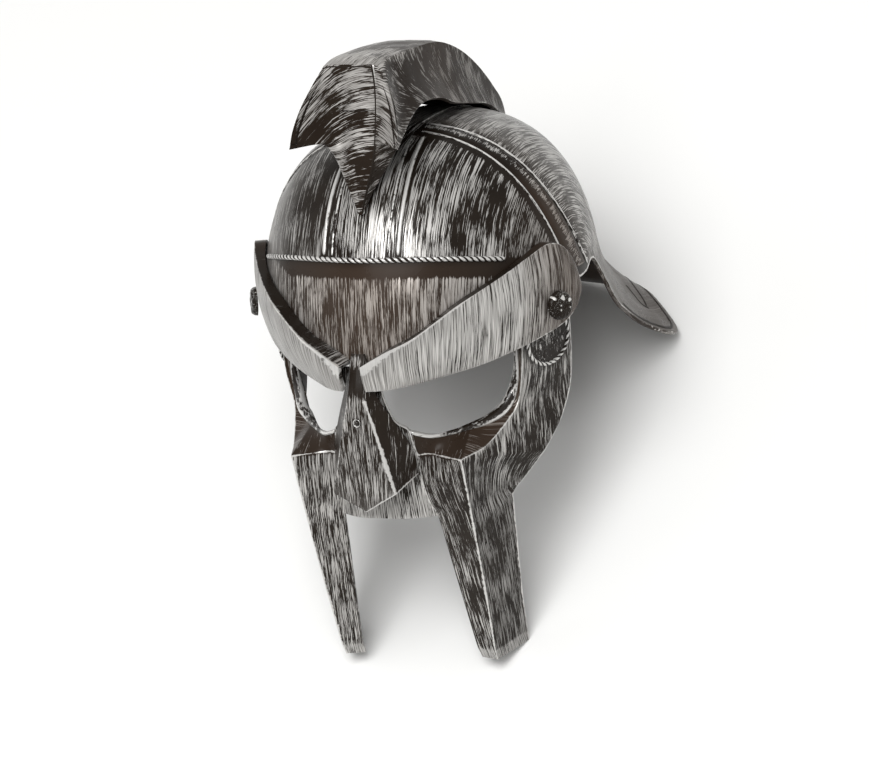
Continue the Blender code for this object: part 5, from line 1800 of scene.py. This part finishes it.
def camera_pose():
    """The camera's axes and place: seen from its turn and rise, rolled about its own view."""
    back = np.array([math.sin(CAMERA_TURN) * math.cos(CAMERA_RISE),
                     -math.cos(CAMERA_TURN) * math.cos(CAMERA_RISE), math.sin(CAMERA_RISE)])
    level = np.array([math.cos(CAMERA_TURN), math.sin(CAMERA_TURN), 0.0])
    upright = np.cross(back, level)
    right = level * math.cos(CAMERA_ROLL) + upright * math.sin(CAMERA_ROLL)
    up = upright * math.cos(CAMERA_ROLL) - level * math.sin(CAMERA_ROLL)
    place = CAMERA_ASIDE * right + CAMERA_ABOVE * up + CAMERA_DISTANCE * back
    return np.stack([right, up, back], axis=1), place


axes, place = camera_pose()
pose = np.eye(4)
pose[:3, :3] = TURN @ axes
pose[:3, 3] = to_rest(place)
camera_data = bpy.data.cameras.new("camera")
camera_data.lens = CAMERA_LENS
camera_data.sensor_width = SENSOR_WIDTH
camera_data.clip_end = 50.0
camera = bpy.data.objects.new("camera", camera_data)
camera.matrix_world = Matrix(pose.tolist())
bpy.context.scene.collection.objects.link(camera)
bpy.context.scene.camera = camera
print("camera at", np.round(pose[:3, 3], 3))

# %% The floor
FLOOR_HALF = 3.0
FLOOR_COLOUR = (0.88, 0.88, 0.87, 1.0)
floor_corners = [(x * FLOOR_HALF, y * FLOOR_HALF, 0) for x, y in ((-1, -1), (1, -1), (1, 1), (-1, 1))]
floor_mesh = bpy.data.meshes.new("floor")
floor_mesh.from_pydata(floor_corners, [], [(0, 1, 2, 3)])
floor = bpy.data.objects.new("floor", floor_mesh)
bpy.context.scene.collection.objects.link(floor)
floor_paint = bpy.data.materials.new("floor_paint")
floor_paint.use_nodes = True
floor_shader = floor_paint.node_tree.nodes["Principled BSDF"]
floor_shader.inputs["Base Color"].default_value = FLOOR_COLOUR
floor_shader.inputs["Roughness"].default_value = 0.9
floor_shader.inputs["Specular IOR Level"].default_value = 0.0
floor_mesh.materials.append(floor_paint)
print("floor", 2 * FLOOR_HALF, "metres wide")

# %% The sky and the panels
SKY_COLOUR = (1.0, 0.995, 0.985, 1.0)
SKY_STRENGTH = 0.50
sky = bpy.data.worlds.new("sky")
sky.use_nodes = True
background = sky.node_tree.nodes["Background"]
background.inputs["Color"].default_value = SKY_COLOUR
background.inputs["Strength"].default_value = SKY_STRENGTH
bpy.context.scene.world = sky
bpy.context.scene.view_settings.view_transform = "Standard"


def add_panel(name, way, distance, size, power):
    """A large square light, a distance from the helmet's middle along a way, facing it."""
    light = bpy.data.lights.new(name, "AREA")
    light.size = size
    light.energy = power
    panel = bpy.data.objects.new(name, light)
    middle = (np.array(cad_box[0]) + np.array(cad_box[1])) / 2
    back = unit(np.array(way, float))
    side = unit(np.cross((0.0, 0.0, 1.0), back))
    pose = np.eye(4)
    pose[:3, :3] = np.stack([side, np.cross(back, side), back], axis=1)
    pose[:3, 3] = middle + distance * back
    panel.matrix_world = Matrix(pose.tolist())
    bpy.context.scene.collection.objects.link(panel)


add_panel("key", (0.08, -0.29, 0.95), 2.0, 1.2, 36.0)
add_panel("left_fill", (0.95, -0.30, 0.45), 2.2, 1.6, 1.0)
add_panel("right_fill", (-0.95, -0.10, 0.45), 2.2, 1.6, 6.0)
print("lights:", [light.name for light in bpy.data.lights])
